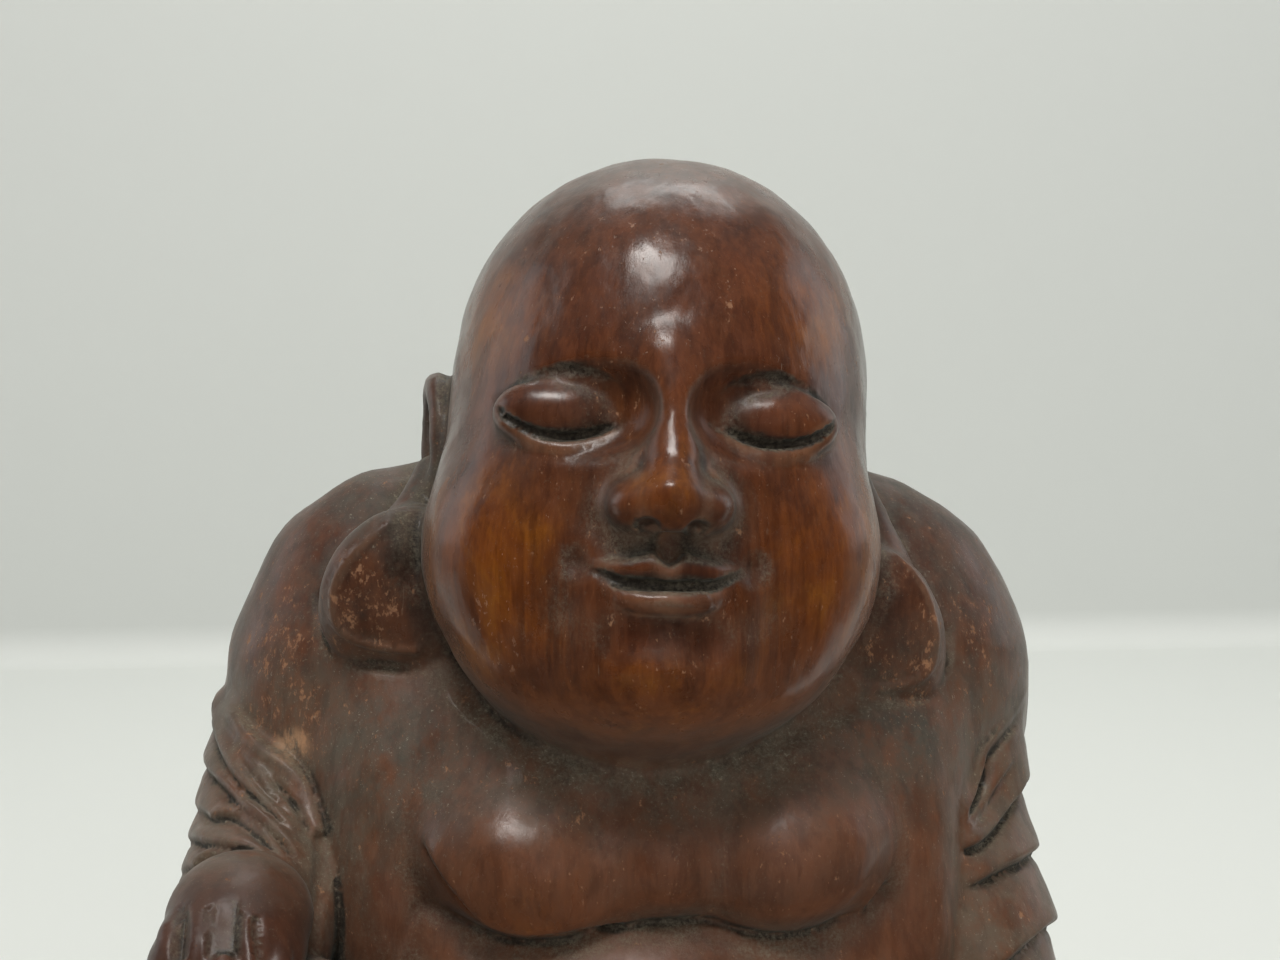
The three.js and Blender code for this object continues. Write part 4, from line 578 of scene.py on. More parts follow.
lap(step([*seen(spline2([[62.1, 91.4], [66.8, 94.3], [69.5, 96.6], [71.9, 98.8], [74.4, 101.3], [76.3, 102.8]], 14)), *wrap([[95, 102], [120, 97], [155, 93]], 58, 0)], [0, 0, 1]), 2.8, 15, 0.8, 0.15)
lap(step(wrap([[10, 76], [40, 82], [70, 86], [95, 87], [120, 82], [155, 77]], 60, -2), [0, 0, 1]), 2.8, 15, 0.8, 0.15)
lap(step(seen(spline2([[70.6, 136.0], [68.4, 132.8], [66.5, 129.8], [64.5, 126.4], [62.3, 123.0], [60.0, 120.2]], 12)), [0, 0, 1]), 1.3, 3.4, 1, 0.3)
groove(seen(spline2([[69.2, 145.5], [67.2, 143.7], [64.6, 140.1], [61.5, 135.3], [58.7, 130.6], [56.9, 126.0]], 14)), 2.2, 1.3, 0.12)
groove(seen(spline2([[56.5, 128.0], [56.2, 123.4], [56.1, 117.6], [56.6, 111.9], [56.1, 106.1], [56.8, 101.3], [57.0, 96.0]], 18)), 2, 1.5, 0.12)
groove(seen(spline2([[-58.7, 124.9], [-57.9, 120.8], [-58.3, 115.2], [-58.9, 110.6], [-59.8, 105.0], [-60.2, 99.9]], 16)), 2.6, 2.2, 0.12)
# back of the robe: hanging folds
for i in range(4):
    z = 128 - 21 * i
    lap(step(wrap(spline2([[108, z + 12], [135, z - 2], [180, z - 10], [225, z - 2], [252, z + 12]], 30), 0, 20), [0, 0, 1]), 2.2, 15, 0.5, 0.25)
# front edges of the robe, beside the belly
tube(spline([[-54, -24, 102], [-56, -31, 92], [-55, -37, 80], [-48, -44, 62]], 10), [1.5, 4.5, 5, 4], 1)
tube(spline([[50, -24, 102], [52, -29, 92], [53, -35, 78], [48, -42, 60]], 10), [1.5, 4.5, 5, 4], 1)

# ---- Legs under the robe ----------------------------------------------------------
group('legs', 0.8)
ball([0, 14, 38], [83, 54, 32], FLAT, 1)
tube([[-32, 0, 44], KNEE_R], [30, 22], 12)
tube([KNEE_R, [-57, -58, 30]], [22, 17.5], 8)
ball([-57, -59, 24], [19, 19, 10], FLAT, 6)
tube([[34, 0, 40], KNEE_L], [28, 22], 12)
tube([KNEE_L, [24, -58, 24]], [21, 14], 8)
ball([-8, -38, 28], [50, 24, 26], FLAT, 10)
ball([-2, -40, 14], [60, 28, 12], FLAT, 8)
# folds round the raised shin, seen from its axis, and hem above the foot
for i in range(4):
    c = [-60 + i, -46 - 3.4 * i, 80 - 13 * i]
    lap(step(ring(c, [c[0] + 20, c[1] + 2, c[2] - 13 + 3 * i], [0, 1, 0.35], -120, 130, 24), [0, 0, 1]), 2.6, 13, 0.8, 0.25)
lap(step(ring([-57, -58, 26], [-40, -58, 25], [0, 1, 0.1], -150, 150, 24), [0, 0, 1]), 2.6, 11, 0.5, 0.15)
# folds over the folded leg
for i in range(4):
    c = [70 - 14 * i, -33 - 7.5 * i, 34 - 3 * i]
    lap(step(ring(c, [c[0] + 4, c[1] + 10, c[2] - 20], [0.55, 1, 0], -115, 115, 24), [1, 0, 0]), 2.4, 12, 0.8, 0.25)
# cloth hanging between the legs, in deep loops
for i in range(4):
    z = 50 - 11 * i
    lap(step(front(spline2([[-42, z + 18], [-28, z + 4], [-8, z - 6], [14, z - 6], [34, z + 2], [46, z + 10]], 26)), [0, 0, 1]), 3, 13, 1, 0.2)
# waistband and its knot
tube(spline([[-50, -24, 64], [-38, -45, 51], [-18, -59, 43], [0, -62, 40], [18, -59, 43], [38, -45, 51], [50, -24, 62]], 18), [3.5, 4.5, 4.8, 4.5, 3.5], 1)
ball([9, -65, 41], [8.5, 6.5, 6.5], FLAT, 1)
tube([[8, -66, 38], [4, -68, 26], [1, -70, 15]], [3.6, 4.6, 5.6], 1)
tube([[11, -66, 38], [17, -67, 28], [20, -69, 18]], [3.4, 4.4, 5.2], 1)

# ---- Hands and feet -------------------------------------------------------------
group('hands', 0.8)
ball([-68.4, -37, 121.6], [11.8, 14.5, 9], [14, 0, 3], 1)
ball([-69.5, -45, 117.4], [12.2, 9, 8], [24, 4, 6], 3)
tube(spline([[-78.2, -41, 122.6], [-78.1, -46.4, 122], [-78.6, -51, 113.5], [-78.6, -53.2, 103], [-78, -55, 96]], 10), [1.4, 1.8, 1.9, 1.9, 1.7], 0.7)
tube(spline([[-73.8, -42, 123.8], [-73.8, -47.6, 122.9], [-74.2, -54, 113.8], [-74.4, -58, 103.5], [-74.2, -60, 96]], 10), [1.9, 2.4, 2.6, 2.5, 2], 0.7)
tube(spline([[-69.1, -41.6, 124.4], [-69.1, -47.2, 123.5], [-69.3, -55.4, 114], [-69.5, -61.4, 104], [-69.4, -63.5, 96]], 10), [2.1, 2.5, 2.7, 2.7, 2.3], 0.7)
tube(spline([[-65, -43, 123], [-65, -48.4, 122.3], [-65, -56.4, 113.6], [-65, -62.6, 104], [-65, -64.6, 96]], 10), [1.5, 1.9, 2.3, 2.4, 2], 0.7)
tube(spline([[-61.4, -40, 121], [-61.2, -46.8, 120.4], [-60.9, -55.5, 112], [-60.6, -61.5, 103], [-60.6, -63.5, 96]], 10), [1.8, 2.3, 2.6, 2.5, 2.1], 0.7)
groove(seen(spline2([[-83.7, 111.7], [-84.0, 106.7], [-84.5, 100.7]], 8)), 1.3, 1.1, 0.12)
groove(seen(spline2([[-78.4, 111.4], [-78.2, 106.5], [-77.9, 100.5]], 8)), 1.5, 1.5, 0.12)
groove(seen(spline2([[-72.9, 110.1], [-73.4, 106.4], [-74.0, 100.4]], 8)), 1.4, 1.3, 0.12)
groove(seen(spline2([[-70.1, 109.1], [-70.0, 105.3], [-69.7, 100.2]], 8)), 1.4, 1.2, 0.12)
# knife-cut flats
cutBox([-69, -50.5, 126.7], [2.1, 5, 3], 0.3, [45, 6, 0], 0.3)
cutBox([-75.5, -49.6, 125.2], [1.4, 5, 3], 0.3, [45, 24, 0], 0.3)
ball([67, -40, 64], [13.5, 14, 8.5], [-25, 0, 0], 1)
for i in range(4):
    x = 57.2 + 6.6 * i
    tube([[x + 0.8, -44, 66], [x, -54, 64], [x, -61, 55], [x, -61, 43]], [3.6, 3.8, 3.6, 3], 0.6)
tube([[57, -36, 62], [50, -46, 60], [47, -54, 54]], [4.6, 4.4, 3.6], 2)

group('feet', 0.8)
ball([-56, -71, 18.5], [13, 17, 9.5], FLAT, 1)
for i in range(5):
    ball([-66.5 + 5.1 * i, -85.5 + 0.9 * (i - 3) * (i - 3), 15.5], [3, 4.6, 3.8], FLAT, 0.8)
ball([30, -72, 18], [22, 11, 8.5], [0, 0, -6], 1)
for i in range(4):
    ball([8.5 + 0.6 * i, -78.5 + 4.4 * i, 17.5], [4.4, 2.7, 3.4], FLAT, 0.8)


# ---- From the carving to a mesh ------------------------------------------------------
SQUARE = BASE["power"]


def slab_field(x, y, z):
    """the low base: a rounded square slab with a rounded top edge"""
    hx, hy = F32(BASE["half"][0]), F32(BASE["half"][1])
    px, py = np.abs(x - F32(BASE["x"])) / hx, np.abs(y - F32(BASE["y"])) / hy
    p = F32(SQUARE)
    s = np.maximum(px ** p + py ** p, 1e-6)
    r = s ** (1 / p)
    gx, gy = px ** (p - 1) / hx, py ** (p - 1) / hy
    g = np.sqrt(gx * gx + gy * gy) * s ** (1 / p - 1)
    side = (r - 1) / np.maximum(g, 1e-4)
    e, mid = F32(BASE["edge"]), F32(BASE["high"] / 2)
    qa, qb = side + e, np.abs(z - mid) - mid + e
    oa, ob = np.maximum(qa, 0), np.maximum(qb, 0)
    return np.sqrt(oa * oa + ob * ob) + np.minimum(np.maximum(qa, qb), 0) - e


def uneven(x, y, z):
    """the slight unevenness that a knife and sandpaper leave, in mm"""
    s = np.sin
    return F32(0.085) * (s(0.41 * x + 1.7 * s(0.23 * z + 0.9) + 0.6) * s(0.37 * y + 1.3 * s(0.31 * x + 2.1)) + s(0.44 * z + 1.5 * s(0.29 * y) + 1.9) * s(0.35 * x - 0.21 * z + 0.4)) \
        + F32(0.03) * s(1.13 * x + 1.9 * s(0.71 * y + 0.3)) * s(1.01 * z + 1.7 * s(0.83 * x + 1.1))


def whole(x, y, z, pad=0.0):
    d = field(x, y, z, pad) + uneven(x, y, z)
    return smin(np.maximum(d, F32(FLOOR) - z), slab_field(x, y, z), 1.2)


def at_points(points, size=9.6, pad=0.0):
    """the field at scattered points; points is n by 3, or n by m by 3 for m places near each"""
    p = np.asarray(points, F32)
    many = p if p.ndim == 3 else p[:, None]
    out = np.empty(many.shape[:2], F32)

    for ids in in_blocks(many[:, 0], size):
        q = many[ids]
        out[ids] = whole(q[..., 0].ravel(), q[..., 1].ravel(), q[..., 2].ravel(), pad).reshape(q.shape[:2])
    return out if p.ndim == 3 else out[:, 0]


TETRA = np.array([[1, -1, -1], [-1, -1, 1], [-1, 1, -1], [1, 1, 1]], F32)


def slopes(points, h):
    """value and gradient from four places around each point"""
    v = at_points(points[:, None] + h * TETRA[None])
    return v.mean(1), (v @ TETRA) / F32(4 * h)


def grid_mesh(lo, hi, cell, block=12):
    """surface net of the field: vertices and four-sided faces, facing out"""
    lo = np.asarray(lo, float)
    nb = np.ceil((np.asarray(hi, float) - lo) / (cell * block)).astype(int)
    n = nb * block + 1
    centre = np.stack(np.meshgrid(*[lo[a] + (np.arange(nb[a]) + 0.5) * cell * block for a in range(3)], indexing="ij"), -1).reshape(-1, 3)
    half = 0.5 * cell * block * math.sqrt(3)
    rough = at_points(centre.astype(F32), 4 * cell * block, half + 4)
    v = np.repeat(np.repeat(np.repeat(np.sign(rough).reshape(nb), block, 0), block, 1), block, 2) * F32(50)
    v = np.pad(v, ((0, 1), (0, 1), (0, 1)), mode="edge").astype(F32)
    live = np.nonzero(np.abs(rough) < 1.35 * half + 4)[0]
    for b in np.stack(np.unravel_index(live, nb), 1):
        i, j, k = b * block
        axes = [lo[a] + cell * np.arange(q, q + block + 1) for a, q in enumerate((i, j, k))]
        x, y, z = np.meshgrid(*axes, indexing="ij")
        v[i:i + block + 1, j:j + block + 1, k:k + block + 1] = whole(x.astype(F32).ravel(), y.astype(F32).ravel(), z.astype(F32).ravel()).reshape(x.shape)
    # edges that cross the surface
    stride = (n[1] * n[2], n[2], 1)
    cell_of, point_of, quads, flips = [], [], [], []
    inside = v < 0
    for a in range(3):
        b, c = (a + 1) % 3, (a + 2) % 3
        lower = [slice(None)] * 3
        upper = [slice(None)] * 3
        lower[a], upper[a] = slice(0, -1), slice(1, None)
        for q in (b, c):
            lower[q] = upper[q] = slice(1, -1)
        ia, ib = inside[tuple(lower)], inside[tuple(upper)]
        w = np.stack(np.nonzero(ia != ib), 1)
        w[:, b] += 1
        w[:, c] += 1
        va = v[w[:, 0], w[:, 1], w[:, 2]]
        w2 = w.copy()
        w2[:, a] += 1
        vb = v[w2[:, 0], w2[:, 1], w2[:, 2]]
        p = w.astype(float)
        p[:, a] += va / (va - vb)
        base = w @ np.array(stride)
        ring4 = [base, base - stride[b], base - stride[b] - stride[c], base - stride[c]]
        for r in ring4:
            cell_of.append(r)
            point_of.append(p)
        quads.append(np.stack(ring4, 1))
        flips.append(va > 0)
    cell_of, point_of = np.concatenate(cell_of), np.concatenate(point_of)
    cells, number = np.unique(cell_of, return_inverse=True)
    count = np.bincount(number)
    verts = np.stack([np.bincount(number, point_of[:, a]) / count for a in range(3)], 1)
    quads, flips = np.concatenate(quads), np.concatenate(flips)
    faces = np.searchsorted(cells, quads)
    faces[flips] = faces[flips][:, ::-1]
    return lo + verts * cell, faces


def settle(verts, faces, cell, rounds):
    """each vertex goes part of the way to the middle of its neighbours, then back to the surface"""
    n = len(verts)
    a = np.concatenate([faces[:, i] for i in range(4)])
    b = np.concatenate([faces[:, (i + 1) % 4] for i in range(4)])
    count = np.bincount(a, minlength=n)[:, None]
    v = verts.astype(float)
    for r in range(rounds):
        mean = np.stack([np.bincount(a, v[b, c], n) for c in range(3)], 1) / count
        v = 0.4 * v + 0.6 * mean
        for _ in range(2 if r == rounds - 1 else 1):
            d, g = slopes(v.astype(F32), 0.2 * cell)
            v -= (np.clip(d, -cell, cell) / np.maximum((g * g).sum(1), 0.3))[:, None] * g
    return v


def biggest(verts, faces):
    """the largest closed shell only"""
    n = len(verts)
    label = np.arange(n)
    while True:
        low = label[faces].min(1)
        new = label.copy()
        np.minimum.at(new, faces.ravel(), np.repeat(low, faces.shape[1]))
        new = new[new]
        if (new == label).all():
            break
        label = new
    main = np.bincount(label).argmax()
    keep = label == main
    index = np.cumsum(keep) - 1
    return verts[keep], index[faces[keep[faces[:, 0]]]]


# ---- The figure's mesh ---------------------------------------------------------------
def make_figure():
    verts, faces = biggest(*grid_mesh([-108, -103, -3], [118, 82, 252], CELL))
    verts = settle(verts, faces, CELL, 2)
    rough = bpy.data.meshes.new("rough")
    rough.from_pydata(verts.tolist(), [], faces.tolist())
    obj = bpy.data.objects.new("rough", rough)
    bpy.context.scene.collection.objects.link(obj)
    keep = obj.vertex_groups.new(name="plain")
    # the back and the base are plainer, so they keep fewer triangles
    weight = np.clip((verts[:, 1] + 5) / 30, 0, 1)
    weight = np.maximum(weight, np.clip((14 - verts[:, 2]) / 3, 0, 1))
    for w in range(5):
        ids = np.nonzero(np.round(weight * 4) == w)[0]
        keep.add(ids.tolist(), 0.15 + 0.85 * w / 4, "REPLACE")
    less = obj.modifiers.new("less", "DECIMATE")
    less.ratio = TRIANGLES / (2 * len(faces))
    less.use_collapse_triangulate = True
    less.vertex_group = "plain"
    less.vertex_group_factor = 1.0
    done = bpy.data.meshes.new_from_object(obj.evaluated_get(bpy.context.evaluated_depsgraph_get()))
    bpy.data.objects.remove(obj)
    bpy.data.meshes.remove(rough)
    done.name = "buddha_carving"
    p = np.empty(len(done.vertices) * 3, F32)
    done.vertices.foreach_get("co", p)
    p = p.reshape(-1, 3)
    for _ in range(2):
        d, g = slopes(p, 0.15)
        p = p - (np.clip(d, -0.3, 0.3) / np.maximum((g * g).sum(1), 0.3))[:, None] * g
    p[:, 2] = np.maximum(p[:, 2], 0)
    d, g = slopes(p, 0.25)
    n = g / np.maximum(np.linalg.norm(g, axis=1), 1e-6)[:, None]
    marks = surface_marks(p, n)
    shifted = (p - np.array([BASE["x"], BASE["y"], 0], F32)) / 1000
    done.vertices.foreach_set("co", shifted.ravel())
    done.polygons.foreach_set("use_smooth", np.ones(len(done.polygons), bool))
    for name, values in marks.items():
        done.attributes.new(name, "FLOAT", "POINT").data.foreach_set("value", values.astype(F32))
    done.update()
    done.normals_split_custom_set_from_vertices(n.tolist())
    while done.vertex_colors:
        done.vertex_colors.remove(done.vertex_colors[0])
    obj = bpy.data.objects.new("buddha_carving", done)
    bpy.context.scene.collection.objects.link(obj)
    return obj


def surface_marks(p, n):
    """how open and how sharp each place is: for the dust, the worn edges and the painted shade"""
    out = {}

    def openness(far):
        return np.clip(at_points(p + far * n, pad=far) / far, 0, 1)
    a, b, c, e = openness(1.5), openness(4), openness(10), openness(22)
    out["groove"] = 1 - a                      # creases and the foot of each fold
    out["hollow"] = 1 - (0.5 * b + 0.5 * c)      # hollows
    out["shelter"] = 1 - e                     # places that the hand and the light don't reach
    i = np.clip(-at_points(p - 1.6 * n) / 1.6, 0, 1.2)
    j = np.clip(-at_points(p - 4.5 * n) / 4.5, 0, 1.2)
    out["edge"] = np.clip(1 - i, 0, 1)
    out["crown"] = np.clip(1 - j, 0, 1)
    out["up"] = np.clip(n[:, 2], 0, 1)
    return out


figure = make_figure()


# ---- Old varnished hardwood ----------------------------------------------------------
class Nodes:
    """short names for shader nodes"""

    def __init__(self, tree):
        self.tree = tree

    def new(self, kind, **values):
        node = self.tree.nodes.new(kind)
        for name, value in values.items():
            setattr(node, name, value)
        return node

    def put(self, value, socket):
        if isinstance(value, bpy.types.NodeSocket):
            self.tree.links.new(value, socket)
        else:
            socket.default_value = value

    def math(self, op, a, b=0.0, c=0.0, clamp=False):
        node = self.new("ShaderNodeMath", operation=op, use_clamp=clamp)
        for value, socket in zip((a, b, c), node.inputs):
            self.put(value, socket)
        return node.outputs[0]

    def ramp(self, value, low, high, to_low=0.0, to_high=1.0, smooth=True):
        node = self.new("ShaderNodeMapRange", clamp=True, interpolation_type="SMOOTHSTEP" if smooth else "LINEAR")
        for v, socket in zip((value, low, high, to_low, to_high), (node.inputs[0], node.inputs[1], node.inputs[2], node.inputs[3], node.inputs[4])):
            self.put(v, socket)
        return node.outputs[0]

    def mix(self, share, a, b):
        node = self.new("ShaderNodeMix", data_type="RGBA", blend_type="MIX", clamp_factor=True)
        self.put(share, node.inputs[0])
        self.put(a, node.inputs[6])
        self.put(b, node.inputs[7])
        return node.outputs[2]

    def times(self, share, a, b):
        node = self.new("ShaderNodeMix", data_type="RGBA", blend_type="MULTIPLY", clamp_factor=True)
        self.put(share, node.inputs[0])
        self.put(a, node.inputs[6])
        self.put(b, node.inputs[7])
        return node.outputs[2]

    def attribute(self, name):
        return self.new("ShaderNodeAttribute", attribute_name=name).outputs["Fac"]

    def place(self, scale=(1, 1, 1), turn=(0, 0, 0), move=(0, 0, 0)):
        coord = self.new("ShaderNodeTexCoord").outputs["Object"]
        node = self.new("ShaderNodeMapping")
        self.put(coord, node.inputs["Vector"])
        node.inputs["Scale"].default_value = scale
        node.inputs["Rotation"].default_value = turn
        node.inputs["Location"].default_value = move
        return node.outputs[0]

    def noise(self, vector, scale, detail=2.0, rough=0.5, distort=0.0):
        node = self.new("ShaderNodeTexNoise")
        self.put(vector, node.inputs["Vector"])
        self.put(scale, node.inputs["Scale"])
        self.put(detail, node.inputs["Detail"])
        self.put(rough, node.inputs["Roughness"])
        self.put(distort, node.inputs["Distortion"])
        return node.outputs[0]

    def cells(self, vector, scale, random=1.0):
        node = self.new("ShaderNodeTexVoronoi")
        self.put(vector, node.inputs["Vector"])
        self.put(scale, node.inputs["Scale"])
        self.put(random, node.inputs["Randomness"])
        return node.outputs["Distance"], node.outputs["Color"]

    def blob(self, centre, radii, soft=0.6):
        """1 inside an ellipsoid at that place (metres), fading to 0 at its outside"""
        node = self.new("ShaderNodeVectorMath", operation="SUBTRACT")
        self.put(self.place(), node.inputs[0])
        node.inputs[1].default_value = centre
        size = self.new("ShaderNodeVectorMath", operation="DIVIDE")
        self.put(node.outputs[0], size.inputs[0])
        size.inputs[1].default_value = radii
        length = self.new("ShaderNodeVectorMath", operation="LENGTH")
        self.put(size.outputs[0], length.inputs[0])
        return self.ramp(length.outputs["Value"], 1 - soft, 1.0, 1.0, 0.0)


def old_wood():
    mat = bpy.data.materials.new("lacquered_wood")
    mat.use_nodes = True
    tree = mat.node_tree
    tree.nodes.clear()
    N = Nodes(tree)
    bsdf = N.new("ShaderNodeBsdfPrincipled")
    out = N.new("ShaderNodeOutputMaterial")
    tree.links.new(bsdf.outputs[0], out.inputs[0])
    groove, hollow, shelter = N.attribute("groove"), N.attribute("hollow"), N.attribute("shelter")
    edge, crown, up = N.attribute("edge"), N.attribute("crown"), N.attribute("up")

    # the wood itself: long vertical grain, broad warm and dark clouds
    clouds = N.noise(N.place((1, 1, 0.6), move=(0.31, 0.12, 0.2)), 24, 4.0, 0.6, 0.5)
    clouds2 = N.noise(N.place((1, 1, 0.8), move=(1.7, 0.4, 0.9)), 62, 5.0, 0.62, 0.4)
    grain = N.noise(N.place((1, 1, 0.06)), 1100, 3.0, 0.6, 0.1)
    streak = N.noise(N.place((1, 1, 0.04), move=(0.5, 0.2, 0.1)), 340, 3.0, 0.6, 0.3)
    fine = N.noise(N.place((1, 1, 0.08), move=(2.5, 0.2, 0.1)), 2800, 2.0, 0.6)
    dark = (0.0200, 0.0080, 0.0046, 1)
    brown = (0.0680, 0.0215, 0.0092, 1)
    red = (0.1120, 0.0320, 0.0118, 1)
    amber = (0.1500, 0.0380, 0.0038, 1)
    honey = (0.2300, 0.0780, 0.0060, 1)
    orange = (0.3300, 0.1650, 0.0850, 1)
    tone = N.mix(N.ramp(clouds, 0.38, 0.64), brown, red)
    # amber where the varnish is thick and warm: cheeks, jaw, one temple, under the breast
    zones = [((-0.034, -0.031, 0.176), (0.024, 0.030, 0.027)), ((0.0235, -0.030, 0.178), (0.024, 0.030, 0.029)),
             ((-0.009, -0.039, 0.158), (0.040, 0.024, 0.012)), ((0.020, -0.020, 0.220), (0.018, 0.026, 0.014)),
             ((-0.034, -0.012, 0.219), (0.016, 0.026, 0.014)), ((-0.008, -0.050, 0.203), (0.012, 0.03, 0.020)),
             ((-0.028, -0.030, 0.1225), (0.019, 0.020, 0.009))]
    warm = None
    for centre, radii in zones:
        zone = N.blob(centre, radii, 0.75)
        warm = zone if warm is None else N.math("MAXIMUM", warm, zone)
    warm = N.math("MULTIPLY", warm, N.ramp(clouds2, 0.34, 0.58, 0.25, 1.0))
    tone = N.mix(N.math("MULTIPLY", warm, 0.95), tone, amber)
    tone = N.mix(N.math("MULTIPLY", N.math("MULTIPLY", warm, N.ramp(clouds2, 0.5, 0.68)), 0.75), tone, honey)
    tone = N.mix(N.math("MULTIPLY", N.ramp(clouds2, 0.56, 0.76), 0.3), tone, amber)
    tone = N.times(N.math("MULTIPLY", N.ramp(grain, 0.42, 0.62, 1.0, 0.0), 0.35), tone, (0.50, 0.42, 0.40, 1))
    tone = N.times(N.math("MULTIPLY", N.ramp(streak, 0.38, 0.54, 1.0, 0.0), 0.55), tone, (0.44, 0.37, 0.35, 1))
    # painted shade: darker in the hollows and in sheltered places, most of all under the jaw
    under = N.blob((-0.006, -0.016, 0.150), (0.046, 0.040, 0.014), 0.8)
    deep = N.math("MULTIPLY", shelter, N.math("MULTIPLY_ADD", under, 0.60, 0.24))
    shaded_hollows = N.math("ADD", N.math("MULTIPLY", hollow, 1.6), deep, clamp=True)
    tone = N.mix(N.math("MULTIPLY", N.ramp(shaded_hollows, 0.18, 0.85), 0.88), tone, dark)
    # worn brighter edges
    wear = N.math("MULTIPLY", N.ramp(edge, 0.16, 0.5), N.ramp(clouds2, 0.24, 0.52))
    tone = N.mix(N.math("MULTIPLY", wear, 0.6), tone, (0.185, 0.095, 0.055, 1))

    # grey-olive film of dust that dulls the robe, the shoulders and the upper breast, and a painted grey reflection on
    # the top of the head
    body = N.blob((-0.006, 0.010, 0.060), (0.16, 0.13, 0.118), 0.16)
    sleeves = N.math("MAXIMUM", N.blob((-0.072, 0.006, 0.130), (0.030, 0.05, 0.031), 0.45), N.blob((0.064, 0.0, 0.120), (0.026, 0.06, 0.044), 0.45))
    breast = N.math("MAXIMUM", N.blob((-0.046, -0.012, 0.143), (0.026, 0.03, 0.026), 0.9), N.blob((0.036, -0.014, 0.146), (0.028, 0.03, 0.024), 0.9))
    breast = N.math("MAXIMUM", breast, N.blob((-0.008, -0.02, 0.146), (0.07, 0.03, 0.020), 0.8))
    tops = N.math("MAXIMUM", N.blob((-0.052, 0.010, 0.190), (0.030, 0.05, 0.020), 0.7), N.blob((0.048, 0.010, 0.190), (0.030, 0.05, 0.020), 0.7))
    arms = N.math("MAXIMUM", N.blob((-0.070, 0.010, 0.162), (0.030, 0.05, 0.036), 0.6), N.blob((0.060, 0.012, 0.158), (0.030, 0.05, 0.038), 0.6))
    # the top of the head: a painted grey reflection of the light above
    crown_reflection = N.blob((-0.004, 0.004, 0.262), (0.06, 0.07, 0.044), 0.6)
    film = N.noise(N.place((1, 1, 0.7), move=(0.2, 0.8, 0.4)), 150, 6.0, 0.72)
    grit = N.noise(N.place(move=(0.7, 0.1, 0.4)), 1500, 4.0, 0.85, 0.3)
    patchy = N.ramp(film, 0.34, 0.62, 0.35, 1.2)
    dust_film_and_crown_reflection = N.math("MULTIPLY", N.math("ADD", N.math("MULTIPLY", breast, 0.80), N.math("ADD", N.math("MAXIMUM", N.math("MULTIPLY", tops, 0.80), N.math("MULTIPLY", arms, 0.50)), N.math("MULTIPLY", crown_reflection, 0.16))), patchy, clamp=True)
    dust_film_and_crown_reflection = N.math("MAXIMUM", dust_film_and_crown_reflection, N.math("MULTIPLY", body, N.math("MULTIPLY", patchy, 0.06)))
    face = N.blob((-0.006, -0.020, 0.188), (0.0445, 0.040, 0.0475), 0.10)
    bare = N.math("SUBTRACT", 1.0, face)
    # no film on the face; the top of the head keeps its painted grey reflection
    dust_film_and_crown_reflection = N.math("MAXIMUM", N.math("MULTIPLY", dust_film_and_crown_reflection, bare), N.math("MULTIPLY", crown_reflection, N.math("MULTIPLY", patchy, 0.16)))
    tone = N.mix(N.math("MULTIPLY", body, 0.45), tone, (0.165, 0.064, 0.031, 1))
    tone = N.mix(dust_film_and_crown_reflection, tone, (0.058, 0.051, 0.039, 1))
    veil = N.math("MULTIPLY", N.math("ADD", N.math("MULTIPLY", body, 0.08), N.math("MULTIPLY", sleeves, 0.55)), patchy)
    veil = N.math("MULTIPLY", veil, N.ramp(edge, 0.15, 0.5, 1.0, 0.6), clamp=True)
    tone = N.mix(veil, tone, (0.098, 0.080, 0.056, 1))
    veil = N.math("MAXIMUM", veil, dust_film_and_crown_reflection)

    # bare wood showing through small chips, in ragged clusters
    beds = [((-0.068, 0.004, 0.156), (0.020, 0.03, 0.036)), ((-0.053, -0.006, 0.170), (0.015, 0.02, 0.018)),
            ((0.041, -0.010, 0.162), (0.018, 0.02, 0.026)), ((0.060, 0.004, 0.160), (0.018, 0.03, 0.030)),
            ((-0.034, -0.031, 0.176), (0.016, 0.02, 0.016))]
    bed = None
    for (centre, radii), strong in zip(beds, (1.0, 1.0, 0.95, 0.85, 0.7)):
        zone = N.math("MULTIPLY", N.blob(centre, radii, 0.8), strong)
        bed = zone if bed is None else N.math("MAXIMUM", bed, zone)
    bed = N.math("MAXIMUM", bed, 0.42)
    patch = N.noise(N.place(move=(0.4, 0.9, 0.1)), 120, 4.0, 0.7)
    chip1 = N.noise(N.place((1, 1, 0.6), move=(0.3, 0.3, 0.3)), 470, 4.0, 0.68, 0.0)
    chip2 = N.noise(N.place((1, 1, 0.6), move=(0.9, 0.5, 0.3)), 1300, 3.0, 0.6, 0.0)
    level = N.math("MULTIPLY_ADD", N.math("MULTIPLY", bed, N.ramp(patch, 0.34, 0.60)), -0.150, 0.735)
    spot1 = N.ramp(N.math("SUBTRACT", chip1, level), -0.045, 0.050)
    spot2 = N.ramp(N.math("SUBTRACT", chip2, level), -0.015, 0.045)
    spots = N.math("MAXIMUM", spot1, N.math("MULTIPLY", spot2, 0.75))
    rust = N.math("MULTIPLY", N.math("MULTIPLY", bed, N.ramp(patch, 0.36, 0.60)), N.ramp(chip1, 0.36, 0.60, 0.35, 1.0))
    tone = N.mix(N.math("MULTIPLY", rust, 0.55), tone, (0.135, 0.048, 0.019, 1))
    tone = N.mix(N.math("MULTIPLY", spots, 0.58), tone, orange)
    bald = N.blob((-0.0672, 0.0005, 0.1432), (0.0048, 0.008, 0.0040), 0.85)
    bald = N.math("MULTIPLY", bald, N.ramp(chip1, 0.34, 0.60))
    tone = N.mix(N.math("MULTIPLY", bald, 0.75), tone, (0.46, 0.26, 0.14, 1))

